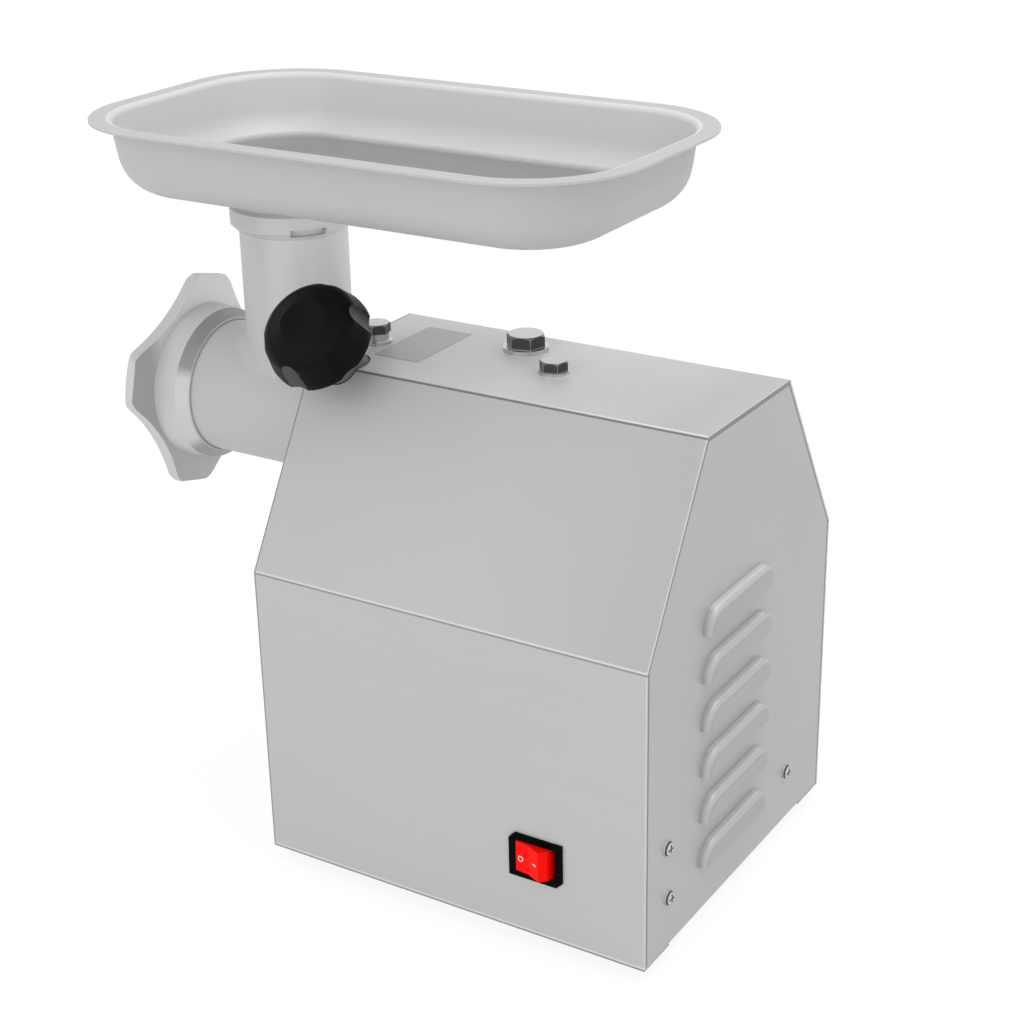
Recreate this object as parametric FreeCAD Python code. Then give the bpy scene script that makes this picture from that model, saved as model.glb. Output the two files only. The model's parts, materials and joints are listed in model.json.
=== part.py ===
# Electric meat grinder: sheet-metal housing, motor, gearbox, grinding head and feed tray.
#
# Millimetres. X runs from the ring nut at the front (-X) to the louvred panel at the back (+X),
# Y runs across the housing and Z is up. Pieces are drawn with X = 0 at the housing's front edge,
# Y = 0 on its mid-plane and Z = 0 at its lower edge. The last lines shift them all, so that the
# origin lies under the middle of the part, on the surface that its feet stand on.
import FreeCAD
import Part
import math
import os

V = FreeCAD.Vector

# Clearances
running_gap = 0.05          # a shaft, journal or spigot in its hole, on the radius
seat_gap = 0.1              # fixed pieces that slip into each other
loose_gap = 0.3             # curved faces of pieces that move past each other
drill_gap = 0.3             # a screw in its clearance hole, on the radius
cut_past = 2.0              # how far a cutting shape runs past what it cuts

# Housing
housing_length = 228.0
housing_width = 206.0
housing_height = 260.5
slope_height = 97.0
top_width = 91.0
sheet = 1.2
fold_radius = 1.5
bottom_flange = 26.0
panel_rim = 13.0
base_thickness = 1.5

# Feet
foot_height = 8.0
foot_radius = 11.5
foot_taper = 1.5
foot_inset = 40.0
foot_recess_radius = 6.0
foot_recess_depth = 4.0

# Louvres in the rear panel
louvre_count = 6
louvre_width = 72.0
louvre_centre_y = -10.0
louvre_height = 13.4
louvre_depth = 6.0
louvre_low_depth = 4.6
louvre_corner = 12.0
louvre_round = 3.6
louvre_pitch = 26.2
louvre_lowest = 27.8
louvre_window_margin = 2.5

# Screws and bolts: shank radius, head across flats or head radius, head height
m12_radius = 6.0
m12_flats = 18.0
m12_head = 6.7
m12_washer_radius = 12.0
m12_washer = 2.4
m12_grip = 9.0
m8_radius = 4.0
m8_flats = 13.0
m8_head = 5.3
m8_washer_radius = 8.0
m8_washer = 1.6
m8_grip = 9.0
m6_radius = 3.0
m6_flats = 10.0
m6_head = 4.0
m5_radius = 2.5
m5_flats = 8.0
m5_head = 3.5
m5_pan_radius = 4.75
m5_pan_head = 3.0
m4_radius = 2.0
m4_pan_radius = 3.9
m4_pan_head = 2.6
cross_slot_width = 1.0
cross_slot_depth = 1.1

# Places of the fasteners that show
front_top_bolt = (12.9, -4.2)
front_bolt_turn = 30.0
front_collar_radius = 6.5
front_collar = 4.0
middle_top_bolt = (88.6, 22.4)
rear_top_bolt = (119.8, -1.9)
bracket_screw_insets = [(21.9, 58.9), (23.6, 29.6)]
clamp_screw_inset = (45.9, 31.2)
panel_screw_length = 9.0

# Blank label plate on the top
label_length = 26.8
label_width = 51.5
label_thickness = 0.4
label_centre = (37.0, 3.7)
label_turn = 0.5

# Rocker switch in the near side
switch_setback = 61.0
switch_z = 44.9
bezel_length = 30.6
bezel_height = 24.8
bezel_thickness = 1.2
bezel_corner = 3.4
switch_body_length = 28.2
switch_body_height = 21.6
switch_body_depth = 24.0
switch_wall = 1.2
rocker_height = 16.8
rocker_pivot_depth = 8.0
rocker_rest_tilt = 16.0
rocker_valley = 10.0
rocker_ridge = (8.0, 11.2321)
rocker_shoulder = (10.4, 6.9)
rocker_hip = (10.2, 1.5)
rocker_foot = (5.0, -3.5)
rocker_window_half = 11.4

# Cable gland in the far side
gland_setback = 32.0
gland_z = 72.0
gland_bore_radius = 4.2
gland_stem_radius = 8.0
gland_flange_radius = 10.0
gland_flange = 3.0
gland_dome = 4.5
gland_dome_radius = 7.0
gland_stem_length = 12.0
gland_nut_flats = 20.0
gland_nut_height = 4.0

# Barrel and neck of the grinding head
barrel_drop = 43.0
barrel_radius = 36.8
barrel_front = -111.0
auger_bore_radius = 27.0
mouth_depth = 13.0
head_wall_x = -16.0
neck_x = -41.7
neck_radius = 28.9
neck_wall = 4.4
neck_blend = 10.0
bead_radius = 33.3
bead_drop = 10.0
bead_height = 10.5
bead_taper = 4.5
bead_round = 2.0
neck_reach = 122.5
neck_rim_radius = 31.0
bead_notch_angle = -38.0
bead_notch_width = 34.0
bead_notch_height = 4.0
bead_notch_depth = 4.2
spigot_radius = 25.95
spigot_end = 36.0

# Perforated plate, knife and ring nut
plate_radius = 31.0
plate_thickness = 6.0
plate_proud = 3.0
plate_hole_radius = 2.6
plate_hole_rings = [(10.4, 8), (16.6, 14), (22.8, 20), (28.0, 25)]
key_radius = 1.5
key_reach = 2.6
key_setback = 2.5
knife_thickness = 9.9
knife_radius = 27.6
knife_hub_radius = 11.0
knife_arm_width = 9.0
knife_arm_thickness = 5.5
stud_radius = 6.0
drive_square = 10.0
nut_thread_turns = 4
nut_pitch = 3.0
nut_lip = 5.55
nut_mouth_radius = 27.5
nut_tip_radius = 60.6
nut_lobe_radius = 62.6
nut_flat = 59.2
nut_tip_round = 20.0
nut_valley_radius = 46.4
nut_lobes = 4
nut_turn = 14.9
nut_tip_thickness = 6.2
nut_slope_length = 1.8
nut_shoulder_radius = 43.8
nut_collar_radius = 42.6
nut_collar_end = -98.3
nut_tail_radius = 38.3
nut_tail_end = -91.8
nut_edge = 1.2

# Auger
auger_core_radius = 11.5
auger_flight_radius = 26.3
auger_flight_thickness = 5.0
auger_pitch = 27.0
auger_gap = 0.3
journal_radius = 9.5
tang_square = 12.0
tang_length = 17.5
thrust_washer = 2.0
thrust_washer_radius = 20.0
bush_radius = 14.0

# Clamp screw that holds the head in the nose
clamp_x = 17.0
clamp_angle = 46.0
clamp_stud_radius = 5.0
clamp_boss_radius = 12.0
clamp_boss_top = 72.0
clamp_hole_gap = 0.8
clamp_pad_length = 5.0
clamp_pitch = 1.5
knob_hub_bottom = 74.0
knob_hub_radius = 11.0
knob_back = 82.5
knob_rim_radius = 28.0
knob_rim_height = 3.5
knob_shoulder_radius = 25.8
knob_shoulder_height = 12.0
knob_brow_radius = 19.5
knob_brow_height = 18.6
knob_crown_height = 21.0
knob_dish_radius = 12.5
knob_dish_depth = 1.0
knob_flutes = 6
knob_flute_radius = 14.0
knob_flute_back = 1.2
knob_flute_lean = 10.0
knob_flute_turn = 30.0
knob_stud_reach = 12.0

# Feed tray and its spout
tray_length = 316.0
tray_width = 183.0
tray_corner = 60.0
tray_depth = 39.4
tray_offset = 70.7
tray_sheet = 1.2
tray_flange = 10.5
tray_bend = 2.0
tray_draft = 5.4
tray_floor_round = 22.9
tray_floor_corner_gain = 2.0
spout_radius = 24.0
spout_wall = 1.6
spout_reach = 30.0
spout_flange = 4.0
spout_flange_thickness = 1.0

# Reduction gears: a pinion on the motor shaft drives the first gear on the lay shaft,
# and the lay shaft's own pinion drives the output gear
pressure_angle = 20.0
addendum = 0.9
dedendum = 1.25
backlash = 0.3
first_module = 1.5
motor_pinion_teeth = 16
first_gear_teeth = 96
second_module = 2.0
lay_pinion_teeth = 15
output_gear_teeth = 33
output_gear_width = 13.0
first_gear_width = 10.0
gear_side_gap = 1.5
gear_flank_points = 4

# Gearbox
nose_front = -8.0
nose_radius = 33.0
nose_flange_radius = 47.0
nose_flange = 5.0
nose_bolt_circle = 41.0
nose_bolt_angles = [30.0, 150.0, 210.0, 330.0]
nose_bolt_reach = 5.0
socket_end = 37.0
seal_thickness = 6.0
bearing_step = 1.5
output_shaft_radius = 12.5
output_bearing_radius = 23.5
output_bearing_width = 12.0
lay_shaft_radius = 7.5
lay_bearing_radius = 17.5
lay_bearing_width = 10.0
case_wall = 4.0
case_front_wall = 5.0
gear_room = 2.2
bearing_boss_wall = 4.0
gasket = 0.5
cover_thickness = 7.5
cover_lug_radius = 6.0
cover_lug_out = 2.0
cover_lug_length = 12.0
cover_bolt_reach = 16.0
top_pad_radius = 9.5
top_pad_gap = 0.1
rear_lug_length = 19.0
rear_lug_width = 22.0
rear_lug_rise = 22.7

# Motor
motor_radius = 55.0
motor_wall = 3.0
stator_bore_radius = 29.6
rotor_gap = 0.6
winding_outer = 48.0
winding_inner = 33.0
winding_length = 9.5
bell_length = 16.0
bell_plate = 4.0
bell_rim = 4.0
motor_shaft_radius = 7.5
motor_bearing_radius = 17.5
motor_bearing_width = 11.0
motor_boss_wall = 4.0
tie_circle = 59.0
tie_ear_radius = 6.0
tie_radius = 2.5
tie_angles = [45.0, 135.0, 225.0, 315.0]
motor_flange_radius = 66.0
fan_radius = 44.0
fan_hub_radius = 13.0
fan_width = 12.0
fan_disc = 1.6
fan_blades = 8
fan_blade_thickness = 1.6
fan_gap = 4.0
shaft_tail = 4.0
shaft_tail_gap = 15.5
cradle_wall = 5.0
cradle_half_width = 45.0
cradle_drop = 25.5
cradle_foot = 3.0
cradle_margin = 4.0
cradle_bolt_room = 8.0
motor_flange_gap = 4.0

# Capacitor and terminals
capacitor_radius = 18.0
capacitor_length = 72.0
capacitor_offset = 24.0
strap_thickness = 1.2
strap_width = 12.0
bracket_margin = 9.0
terminal_depth = 22.0
terminal_width = 20.0
terminal_height = 20.0

# Sizes that follow from the ones above
side_height = housing_height - slope_height
barrel_z = housing_height - barrel_drop
neck_top = barrel_z + neck_reach
bead_top = neck_top - bead_drop
bead_bottom = bead_top - bead_height
first_centres = first_module * (motor_pinion_teeth + first_gear_teeth) / 2
second_centres = second_module * (lay_pinion_teeth + output_gear_teeth) / 2
lay_z = barrel_z - second_centres
motor_z = lay_z - first_centres
base_top = sheet + base_thickness
plate_back = barrel_front - plate_proud + plate_thickness
plate_front = barrel_front - plate_proud
nut_front = plate_front - running_gap - nut_lip
mouth_back = barrel_front + mouth_depth
knife_back = plate_back + knife_thickness
auger_front = knife_back + 0.2
auger_back = head_wall_x - thrust_washer - auger_gap
shaft_front = socket_end + bearing_step
seal_end = shaft_front + seal_thickness
bearing_1 = seal_end + seat_gap
bearing_2 = bearing_1 + output_bearing_width + seat_gap
case_front = bearing_2 + output_bearing_width + seat_gap
chamber_front = case_front + case_front_wall
output_gear_x = chamber_front + gear_side_gap
first_gear_x = output_gear_x + output_gear_width + gear_side_gap
case_back = first_gear_x + first_gear_width + gear_side_gap
cover_front = case_back + gasket
cover_back = cover_front + cover_thickness
near_side = -housing_width / 2
far_side = housing_width / 2
rear_inside = housing_length - sheet
fan_x = rear_inside - shaft_tail_gap - shaft_tail - fan_width
motor_back = fan_x - fan_gap
stator_front = cover_back + bell_length
stator_back = motor_back - bell_length
tray_x = neck_x + tray_offset
tray_floor_z = neck_top + seat_gap
tray_rim_z = tray_floor_z + tray_depth
switch_x = housing_length - switch_setback
gland_x = housing_length - gland_setback
clamp_screw = (far_side - clamp_screw_inset[0], clamp_screw_inset[1])
bracket_screws = [(near_side + inset, z) for inset, z in bracket_screw_insets]
shell_top_inside = housing_height - sheet
bezel_face = near_side - bezel_thickness
pivot_y = bezel_face + rocker_pivot_depth
nose_bolt_places = []
for angle in nose_bolt_angles:
    turn = math.radians(angle)
    nose_bolt_places.append((nose_bolt_circle * math.cos(turn), barrel_z + nose_bolt_circle * math.sin(turn)))
tie_places = []
for angle in tie_angles:
    turn = math.radians(angle)
    tie_places.append((tie_circle * math.cos(turn), motor_z + tie_circle * math.sin(turn)))
foot_places = []
for x in (foot_inset, housing_length - foot_inset):
    for y in (near_side + foot_inset, far_side - foot_inset):
        foot_places.append((x, y))
base_screw_places = []
for x in (housing_length / 4, 3 * housing_length / 4):
    for y in (near_side + bottom_flange / 2, far_side - bottom_flange / 2):
        base_screw_places.append((x, y))
cradle_front = stator_front + cradle_margin
cradle_back = stator_back - cradle_margin
cradle_top = motor_z - cradle_drop
cradle_bolt_places = []
for y in (-cradle_half_width - cradle_bolt_room, cradle_half_width + cradle_bolt_room):
    cradle_bolt_places.append(((cradle_front + cradle_back) / 2, y))


# Simple shapes
def block(x0, x1, y0, y1, z0, z1):
    return Part.makeBox(x1 - x0, y1 - y0, z1 - z0, V(x0, y0, z0))


def rod_x(radius, x0, x1, y, z):
    return Part.makeCylinder(radius, x1 - x0, V(x0, y, z), V(1, 0, 0))


def rod_y(radius, y0, y1, x, z):
    return Part.makeCylinder(radius, y1 - y0, V(x, y0, z), V(0, 1, 0))


def rod_z(radius, z0, z1, x, y):
    return Part.makeCylinder(radius, z1 - z0, V(x, y, z0), V(0, 0, 1))


def ring_x(outer, inner, x0, x1, y, z):
    bore = rod_x(inner, x0 - cut_past, x1 + cut_past, y, z)
    return rod_x(outer, x0, x1, y, z).cut(bore)


def ring_z(outer, inner, z0, z1, x, y):
    bore = rod_z(inner, z0 - cut_past, z1 + cut_past, x, y)
    return rod_z(outer, z0, z1, x, y).cut(bore)


def join(shapes):
    return shapes[0].fuse(shapes[1:]).removeSplitter()


def group(shapes):
    return Part.Compound(shapes)


def prism_x(points, x0, x1):
    corners = [V(x0, y, z) for y, z in points]
    face = Part.Face(Part.makePolygon(corners + corners[:1]))
    return face.extrude(V(x1 - x0, 0, 0))


def turned_x(profile, y, z):
    corners = [V(x, y, z + radius) for x, radius in profile]
    face = Part.Face(Part.makePolygon(corners + corners[:1]))
    return face.revolve(V(0, y, z), V(1, 0, 0), 360)


def turned_z(profile, x, y):
    corners = [V(x + radius, y, z) for radius, z in profile]
    face = Part.Face(Part.makePolygon(corners + corners[:1]))
    return face.revolve(V(x, y, 0), V(0, 0, 1), 360)


def hex_prism_z(flats, z0, z1, x, y):
    reach = flats / math.sqrt(3)
    corners = []
    for step in range(6):
        turn = math.radians(60 * step + 15)
        corners.append(V(x + reach * math.cos(turn), y + reach * math.sin(turn), z0))
    face = Part.Face(Part.makePolygon(corners + corners[:1]))
    return face.extrude(V(0, 0, z1 - z0))


def hex_head_z(flats, z0, height, x, y):
    """A hex head whose top corners are turned off."""
    reach = flats / math.sqrt(3)
    rim = reach - flats / 2
    dome = turned_z([(0, z0), (reach, z0), (reach, z0 + height - rim), (flats / 2, z0 + height),
                     (0, z0 + height)], x, y)
    return hex_prism_z(flats, z0, z0 + height, x, y).common(dome)


def along_x(shape, x, y, z):
    """Lay a shape that is drawn upwards from the origin along +X, and carry it to a place."""
    placed = shape.copy()
    placed.Placement = FreeCAD.Placement(V(x, y, z), FreeCAD.Rotation(V(0, 1, 0), 90))
    return placed


def cross_head_screw(shank_radius, head_radius, head_height, length):
    """A pan-head screw drawn upwards: shank below zero, head above, with its cross slot."""
    flat = head_radius * 0.55
    edge = head_height * 0.45
    head = turned_z([(0, 0), (head_radius, 0), (head_radius, edge), (flat, head_height), (0, head_height)], 0, 0)
    screw = join([head, rod_z(shank_radius, -length, 0, 0, 0)])
    reach = head_radius * 0.6
    half = cross_slot_width / 2
    low = head_height - cross_slot_depth
    high = head_height + cut_past
    return screw.cut([block(-reach, reach, -half, half, low, high), block(-half, half, -reach, reach, low, high)])


# Housing
def housing_outline(inset):
    """The housing's end view, moved inwards by the same distance all round."""
    rise = housing_height - side_height
    run = (housing_width - top_width) / 2
    slope = math.hypot(rise, run)
    side_y = housing_width / 2 - inset
    shoulder_z = side_height + inset * (rise - slope) / run
    top_y = top_width / 2 - inset * (slope - run) / rise
    top_z = housing_height - inset
    return [(-side_y, inset), (-side_y, shoulder_z), (-top_y, top_z),
            (top_y, top_z), (side_y, shoulder_z), (side_y, inset)]


def clamp_point(distance):
    """A point on the clamp screw's axis, at a distance from the barrel's axis."""
    turn = math.radians(clamp_angle)
    return V(clamp_x, -distance * math.cos(turn), barrel_z + distance * math.sin(turn))


def clamp_rod(radius, start, end):
    axis = clamp_point(1) - clamp_point(0)
    return Part.makeCylinder(radius, end - start, clamp_point(start), axis)


def housing_shell():
    solid = prism_x(housing_outline(0), 0, housing_length)
    folds = []
    for edge in solid.Edges:
        ends = edge.Vertexes
        along = abs(ends[0].X - ends[-1].X) > housing_length / 2
        if along and edge.BoundBox.ZMin > side_height / 2:
            folds.append(edge)
    solid = solid.makeFillet(fold_radius, folds)
    hollow = prism_x(housing_outline(sheet), -cut_past, housing_length + cut_past)
    slot_side = housing_width / 2 - bottom_flange
    slot = block(-cut_past, housing_length + cut_past, -slot_side, slot_side, -cut_past, sheet + cut_past)
    cuts = [hollow, slot]
    for x, y in (front_top_bolt, rear_top_bolt):
        cuts.append(rod_z(m8_radius + drill_gap, shell_top_inside - cut_past, housing_height + cut_past, x, y))
    x, y = middle_top_bolt
    cuts.append(rod_z(m12_radius + drill_gap, shell_top_inside - cut_past, housing_height + cut_past, x, y))
    half_length = switch_body_length / 2 + seat_gap
    half_height = switch_body_height / 2 + seat_gap
    cuts.append(block(switch_x - half_length, switch_x + half_length, near_side - cut_past,
                      near_side + sheet + cut_past, switch_z - half_height, switch_z + half_height))
    cuts.append(rod_y(gland_stem_radius + seat_gap, far_side - sheet - cut_past, far_side + cut_past,
                      gland_x, gland_z))
    cuts.append(clamp_rod(clamp_boss_radius + clamp_hole_gap, nose_radius, clamp_boss_top))
    for x, y in base_screw_places:
        cuts.append(rod_z(m4_radius + drill_gap, -cut_past, sheet + cut_past, x, y))
    return solid.cut(cuts)


def panel_outline(inset):
    points = housing_outline(sheet + seat_gap + inset)
    floor = base_top + seat_gap + inset
    return [(y, max(z, floor)) for y, z in points]


def panel(face_x, inward):
    """A flat end panel with a rim turned inwards all round."""
    plate_ends = sorted([face_x, face_x + inward * sheet])
    rim_ends = sorted([face_x, face_x + inward * panel_rim])
    room_ends = sorted([face_x + inward * sheet, face_x + inward * (panel_rim + cut_past)])
    rim = prism_x(panel_outline(0), rim_ends[0], rim_ends[1])
    room = prism_x(panel_outline(sheet), room_ends[0], room_ends[1])
    plate = prism_x(panel_outline(0), plate_ends[0], plate_ends[1])
    return join([plate, rim.cut(room)])


def front_panel():
    cuts = [rod_x(nose_radius + loose_gap, -cut_past, sheet + cut_past, 0, barrel_z)]
    for y, z in nose_bolt_places:
        cuts.append(rod_x(m6_radius + drill_gap, -cut_past, sheet + cut_past, y, z))
    x, y = front_top_bolt
    half = top_pad_radius + drill_gap
    cuts.append(block(sheet, panel_rim + cut_past, y - half, y + half, shell_top_inside - 3 * sheet, housing_height))
    cuts.append(clamp_rod(clamp_boss_radius + clamp_hole_gap, nose_radius, clamp_boss_top))
    return panel(0, 1).cut(cuts)


def louvre_form(inset, drop, x0, x1):
    """The upright outline of one louvre, square below and round at its upper corners, as a slab."""
    half = louvre_width / 2 - inset
    top = louvre_height - inset
    corner = louvre_corner - inset
    bend = corner * (1 - math.sqrt(0.5))
    left_low = V(x0, -half, -drop)
    left_high = V(x0, -half, top - corner)
    left_mid = V(x0, -half + bend, top - bend)
    left_top = V(x0, -half + corner, top)
    right_top = V(x0, half - corner, top)
    right_mid = V(x0, half - bend, top - bend)
    right_high = V(x0, half, top - corner)
    right_low = V(x0, half, -drop)
    edges = [
        Part.LineSegment(left_low, left_high).toShape(),
        Part.Arc(left_high, left_mid, left_top).toShape(),
        Part.LineSegment(left_top, right_top).toShape(),
        Part.Arc(right_top, right_mid, right_high).toShape(),
        Part.LineSegment(right_high, right_low).toShape(),
        Part.LineSegment(right_low, left_low).toShape(),
    ]
    return Part.Face(Part.Wire(edges)).extrude(V(x1 - x0, 0, 0))


def rounded_louvre(inset, drop, x0, radius):
    """The louvre slab with a face that leans in towards its open lower side, rounded over above."""
    top_x = housing_length + louvre_depth - inset
    low_x = housing_length + louvre_low_depth - inset
    lean = (top_x - low_x) / louvre_height
    slab = louvre_form(inset, drop, x0, top_x + cut_past)
    half = louvre_width
    low = -drop - cut_past
    high = louvre_height + cut_past
    corners = [V(low_x + lean * low, -half, low), V(low_x + lean * high, -half, high),
               V(top_x + 3 * cut_past, -half, high), V(top_x + 3 * cut_past, -half, low)]
    slab = slab.cut(Part.Face(Part.makePolygon(corners + corners[:1])).extrude(V(0, 2 * half, 0)))
    rounded = []
    for edge in slab.Edges:
        box = edge.BoundBox
        if box.XMin > x0 + sheet and box.ZMax > -drop + 0.01:
            rounded.append(edge)
    return slab.makeFillet(radius, rounded)


def rear_panel():
    face = housing_length
    hood = rounded_louvre(0, 0, face - sheet, louvre_round)
    room = rounded_louvre(sheet, cut_past, face, louvre_round - sheet)
    window = louvre_form(louvre_window_margin, 0, face - sheet - cut_past, face + sheet)
    hoods = []
    rooms = []
    for step in range(louvre_count):
        place = V(0, louvre_centre_y, louvre_lowest + step * louvre_pitch)
        hoods.append(hood.translated(place))
        rooms.append(room.translated(place))
        rooms.append(window.translated(place))
    solid = join([panel(face, -1)] + hoods)
    holes = []
    for y, z in bracket_screws + [clamp_screw]:
        holes.append(rod_x(m4_radius + drill_gap, rear_inside - cut_past, face + cut_past, y, z))
    return solid.cut(rooms + holes)


def base_plate():
    side = housing_width / 2 - sheet - seat_gap
    solid = block(seat_gap, housing_length - seat_gap, -side, side, sheet, base_top)
    holes = []
    for x, y in foot_places:
        holes.append(rod_z(m5_radius + drill_gap, 0, base_top + cut_past, x, y))
    for x, y in base_screw_places:
        holes.append(rod_z(m4_radius + running_gap, 0, base_top + cut_past, x, y))
    for x, y in cradle_bolt_places:
        holes.append(rod_z(m6_radius + drill_gap, 0, base_top + cut_past, x, y))
    return solid.cut(holes)


def rubber_feet():
    feet = []
    for x, y in foot_places:
        foot = Part.makeCone(foot_radius - foot_taper, foot_radius, foot_height + sheet, V(x, y, -foot_height))
        recess = rod_z(foot_recess_radius, -foot_height - cut_past, -foot_height + foot_recess_depth, x, y)
        hole = rod_z(m5_radius + drill_gap, -foot_height, sheet + cut_past, x, y)
        feet.append(foot.cut([recess, hole]))
    return group(feet)


def foot_screws():
    seat = -foot_height + foot_recess_depth
    length = base_top + m5_head + 2 - seat
    screw = cross_head_screw(m5_radius, m5_pan_radius, m5_pan_head, length)
    screw = screw.mirror(V(0, 0, 0), V(0, 0, 1))
    return group([screw.translated(V(x, y, seat)) for x, y in foot_places])


def foot_nuts():
    nuts = []
    for x, y in foot_places:
        nut = hex_prism_z(m5_flats, base_top, base_top + m5_head, x, y)
        nuts.append(nut.cut(rod_z(m5_radius + running_gap, 0, base_top + m5_head + cut_past, x, y)))
    return group(nuts)


def base_screws():
    screw = cross_head_screw(m4_radius, m4_pan_radius, m4_pan_head, base_top + 4)
    screw = screw.mirror(V(0, 0, 0), V(0, 0, 1))
    return group([screw.translated(V(x, y, 0)) for x, y in base_screw_places])


def panel_screws():
    screw = cross_head_screw(m4_radius, m4_pan_radius, m4_pan_head, panel_screw_length)
    places = bracket_screws + [clamp_screw]
    return group([along_x(screw, housing_length, y, z) for y, z in places])


def top_bolts():
    """The two small hex bolts: the front one stands on a collar."""
    washer_top = housing_height + m8_washer
    front = hex_bolt_z(m8_flats, m8_head, m8_radius, m8_grip, washer_top + front_collar, front_top_bolt)
    x, y = front_top_bolt
    front.rotate(V(x, y, 0), V(0, 0, 1), front_bolt_turn)
    rear = hex_bolt_z(m8_flats, m8_head, m8_radius, m8_grip, washer_top, rear_top_bolt)
    return group([front, rear])


def hex_bolt_z(flats, head, radius, grip, seat, place):
    x, y = place
    shank = rod_z(radius, shell_top_inside - grip, seat, x, y)
    return join([hex_head_z(flats, seat, head, x, y), shank])


def top_washers():
    top = housing_height + m8_washer
    washers = []
    for x, y in (front_top_bolt, rear_top_bolt):
        washers.append(ring_z(m8_washer_radius, m8_radius + drill_gap, housing_height, top, x, y))
    return group(washers)


def bolt_collar():
    x, y = front_top_bolt
    low = housing_height + m8_washer
    return ring_z(front_collar_radius, m8_radius + drill_gap, low, low + front_collar, x, y)


def middle_bolt():
    return hex_bolt_z(m12_flats, m12_head, m12_radius, m12_grip, housing_height + m12_washer, middle_top_bolt)


def middle_washer():
    x, y = middle_top_bolt
    top = housing_height + m12_washer
    return ring_z(m12_washer_radius, m12_radius + drill_gap, housing_height, top, x, y)


def label_plate():
    half_length = label_length / 2
    half_width = label_width / 2
    plate = block(-half_length, half_length, -half_width, half_width, 0, label_thickness)
    x, y = label_centre
    plate.Placement = FreeCAD.Placement(V(x, y, housing_height), FreeCAD.Rotation(V(0, 0, 1), label_turn))
    return plate


# Switch
def bezel():
    half_length = bezel_length / 2
    half_height = bezel_height / 2
    points = [(-half_length, -half_height), (half_length - bezel_corner, -half_height),
              (half_length, -half_height + bezel_corner), (half_length, half_height),
              (-half_length + bezel_corner, half_height), (-half_length, half_height - bezel_corner)]
    corners = [V(switch_x + x, bezel_face, switch_z + z) for x, z in points]
    face = Part.Face(Part.makePolygon(corners + corners[:1]))
    return face.extrude(V(0, bezel_thickness, 0))


def switch_body():
    half_length = switch_body_length / 2
    half_height = switch_body_height / 2
    back = near_side + switch_body_depth
    body = block(switch_x - half_length, switch_x + half_length, near_side, back,
                 switch_z - half_height, switch_z + half_height)
    window_height = rocker_height / 2 + loose_gap
    window = block(switch_x - rocker_window_half, switch_x + rocker_window_half, bezel_face - cut_past,
                   near_side + cut_past, switch_z - window_height, switch_z + window_height)
    room_length = half_length - switch_wall
    room = block(switch_x - room_length, switch_x + room_length, near_side + sheet / 2,
                 pivot_y - rocker_foot[1] + 2 * switch_wall, switch_z - window_height, switch_z + window_height)
    blades = []
    for step in (-1, 1):
        x = switch_x + step * half_length / 2
        blades.append(block(x - 0.4, x + 0.4, back, back + 8, switch_z - 3, switch_z + 3))
    pins = []
    for z0, z1 in ((switch_z - window_height - switch_wall, switch_z - rocker_height / 2 + 2),
                   (switch_z + rocker_height / 2 - 2, switch_z + window_height + switch_wall)):
        pins.append(rod_z(1.5, z0, z1, switch_x, pivot_y))
    return join([join([bezel(), body]).cut([window, room])] + blades + pins)


def switch_rocker():
    side = [rocker_ridge, rocker_shoulder, rocker_hip, rocker_foot]
    outline = [(0, rocker_valley)] + side + [(-x, out) for x, out in reversed(side)]
    turn = math.radians(rocker_rest_tilt)
    corners = []
    for x, out in outline:
        tilted_x = x * math.cos(turn) - out * math.sin(turn)
        tilted_out = x * math.sin(turn) + out * math.cos(turn)
        corners.append(V(switch_x + tilted_x, pivot_y - tilted_out, switch_z - rocker_height / 2))
    face = Part.Face(Part.makePolygon(corners + corners[:1]))
    solid = face.extrude(V(0, 0, rocker_height))
    sockets = rod_z(1.5 + running_gap, switch_z - rocker_height, switch_z - rocker_height / 2 + 2.2, switch_x, pivot_y)
    upper = rod_z(1.5 + running_gap, switch_z + rocker_height / 2 - 2.2, switch_z + rocker_height, switch_x, pivot_y)
    return solid.cut([sockets, upper])


# Cable gland
def cable_gland():
    inside = far_side - sheet - gland_stem_length
    flange_end = far_side + gland_flange
    solid = join([
        rod_y(gland_stem_radius, inside, far_side, gland_x, gland_z),
        rod_y(gland_flange_radius, far_side, flange_end, gland_x, gland_z),
        Part.makeCone(gland_dome_radius + 1.5, gland_dome_radius, gland_dome, V(gland_x, flange_end, gland_z),
                      V(0, 1, 0)),
    ])
    return solid.cut(rod_y(gland_bore_radius, inside - cut_past, flange_end + gland_dome + cut_past,
                           gland_x, gland_z))


def gland_nut():
    back = far_side - sheet
    nut = hex_prism_z(gland_nut_flats, 0, gland_nut_height, 0, 0)
    nut = nut.cut(rod_z(gland_stem_radius + running_gap, -cut_past, gland_nut_height + cut_past, 0, 0))
    nut.Placement = FreeCAD.Placement(V(gland_x, back, gland_z), FreeCAD.Rotation(V(1, 0, 0), 90))
    return nut


# Gears
def involute(angle):
    return math.tan(angle) - angle


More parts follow.
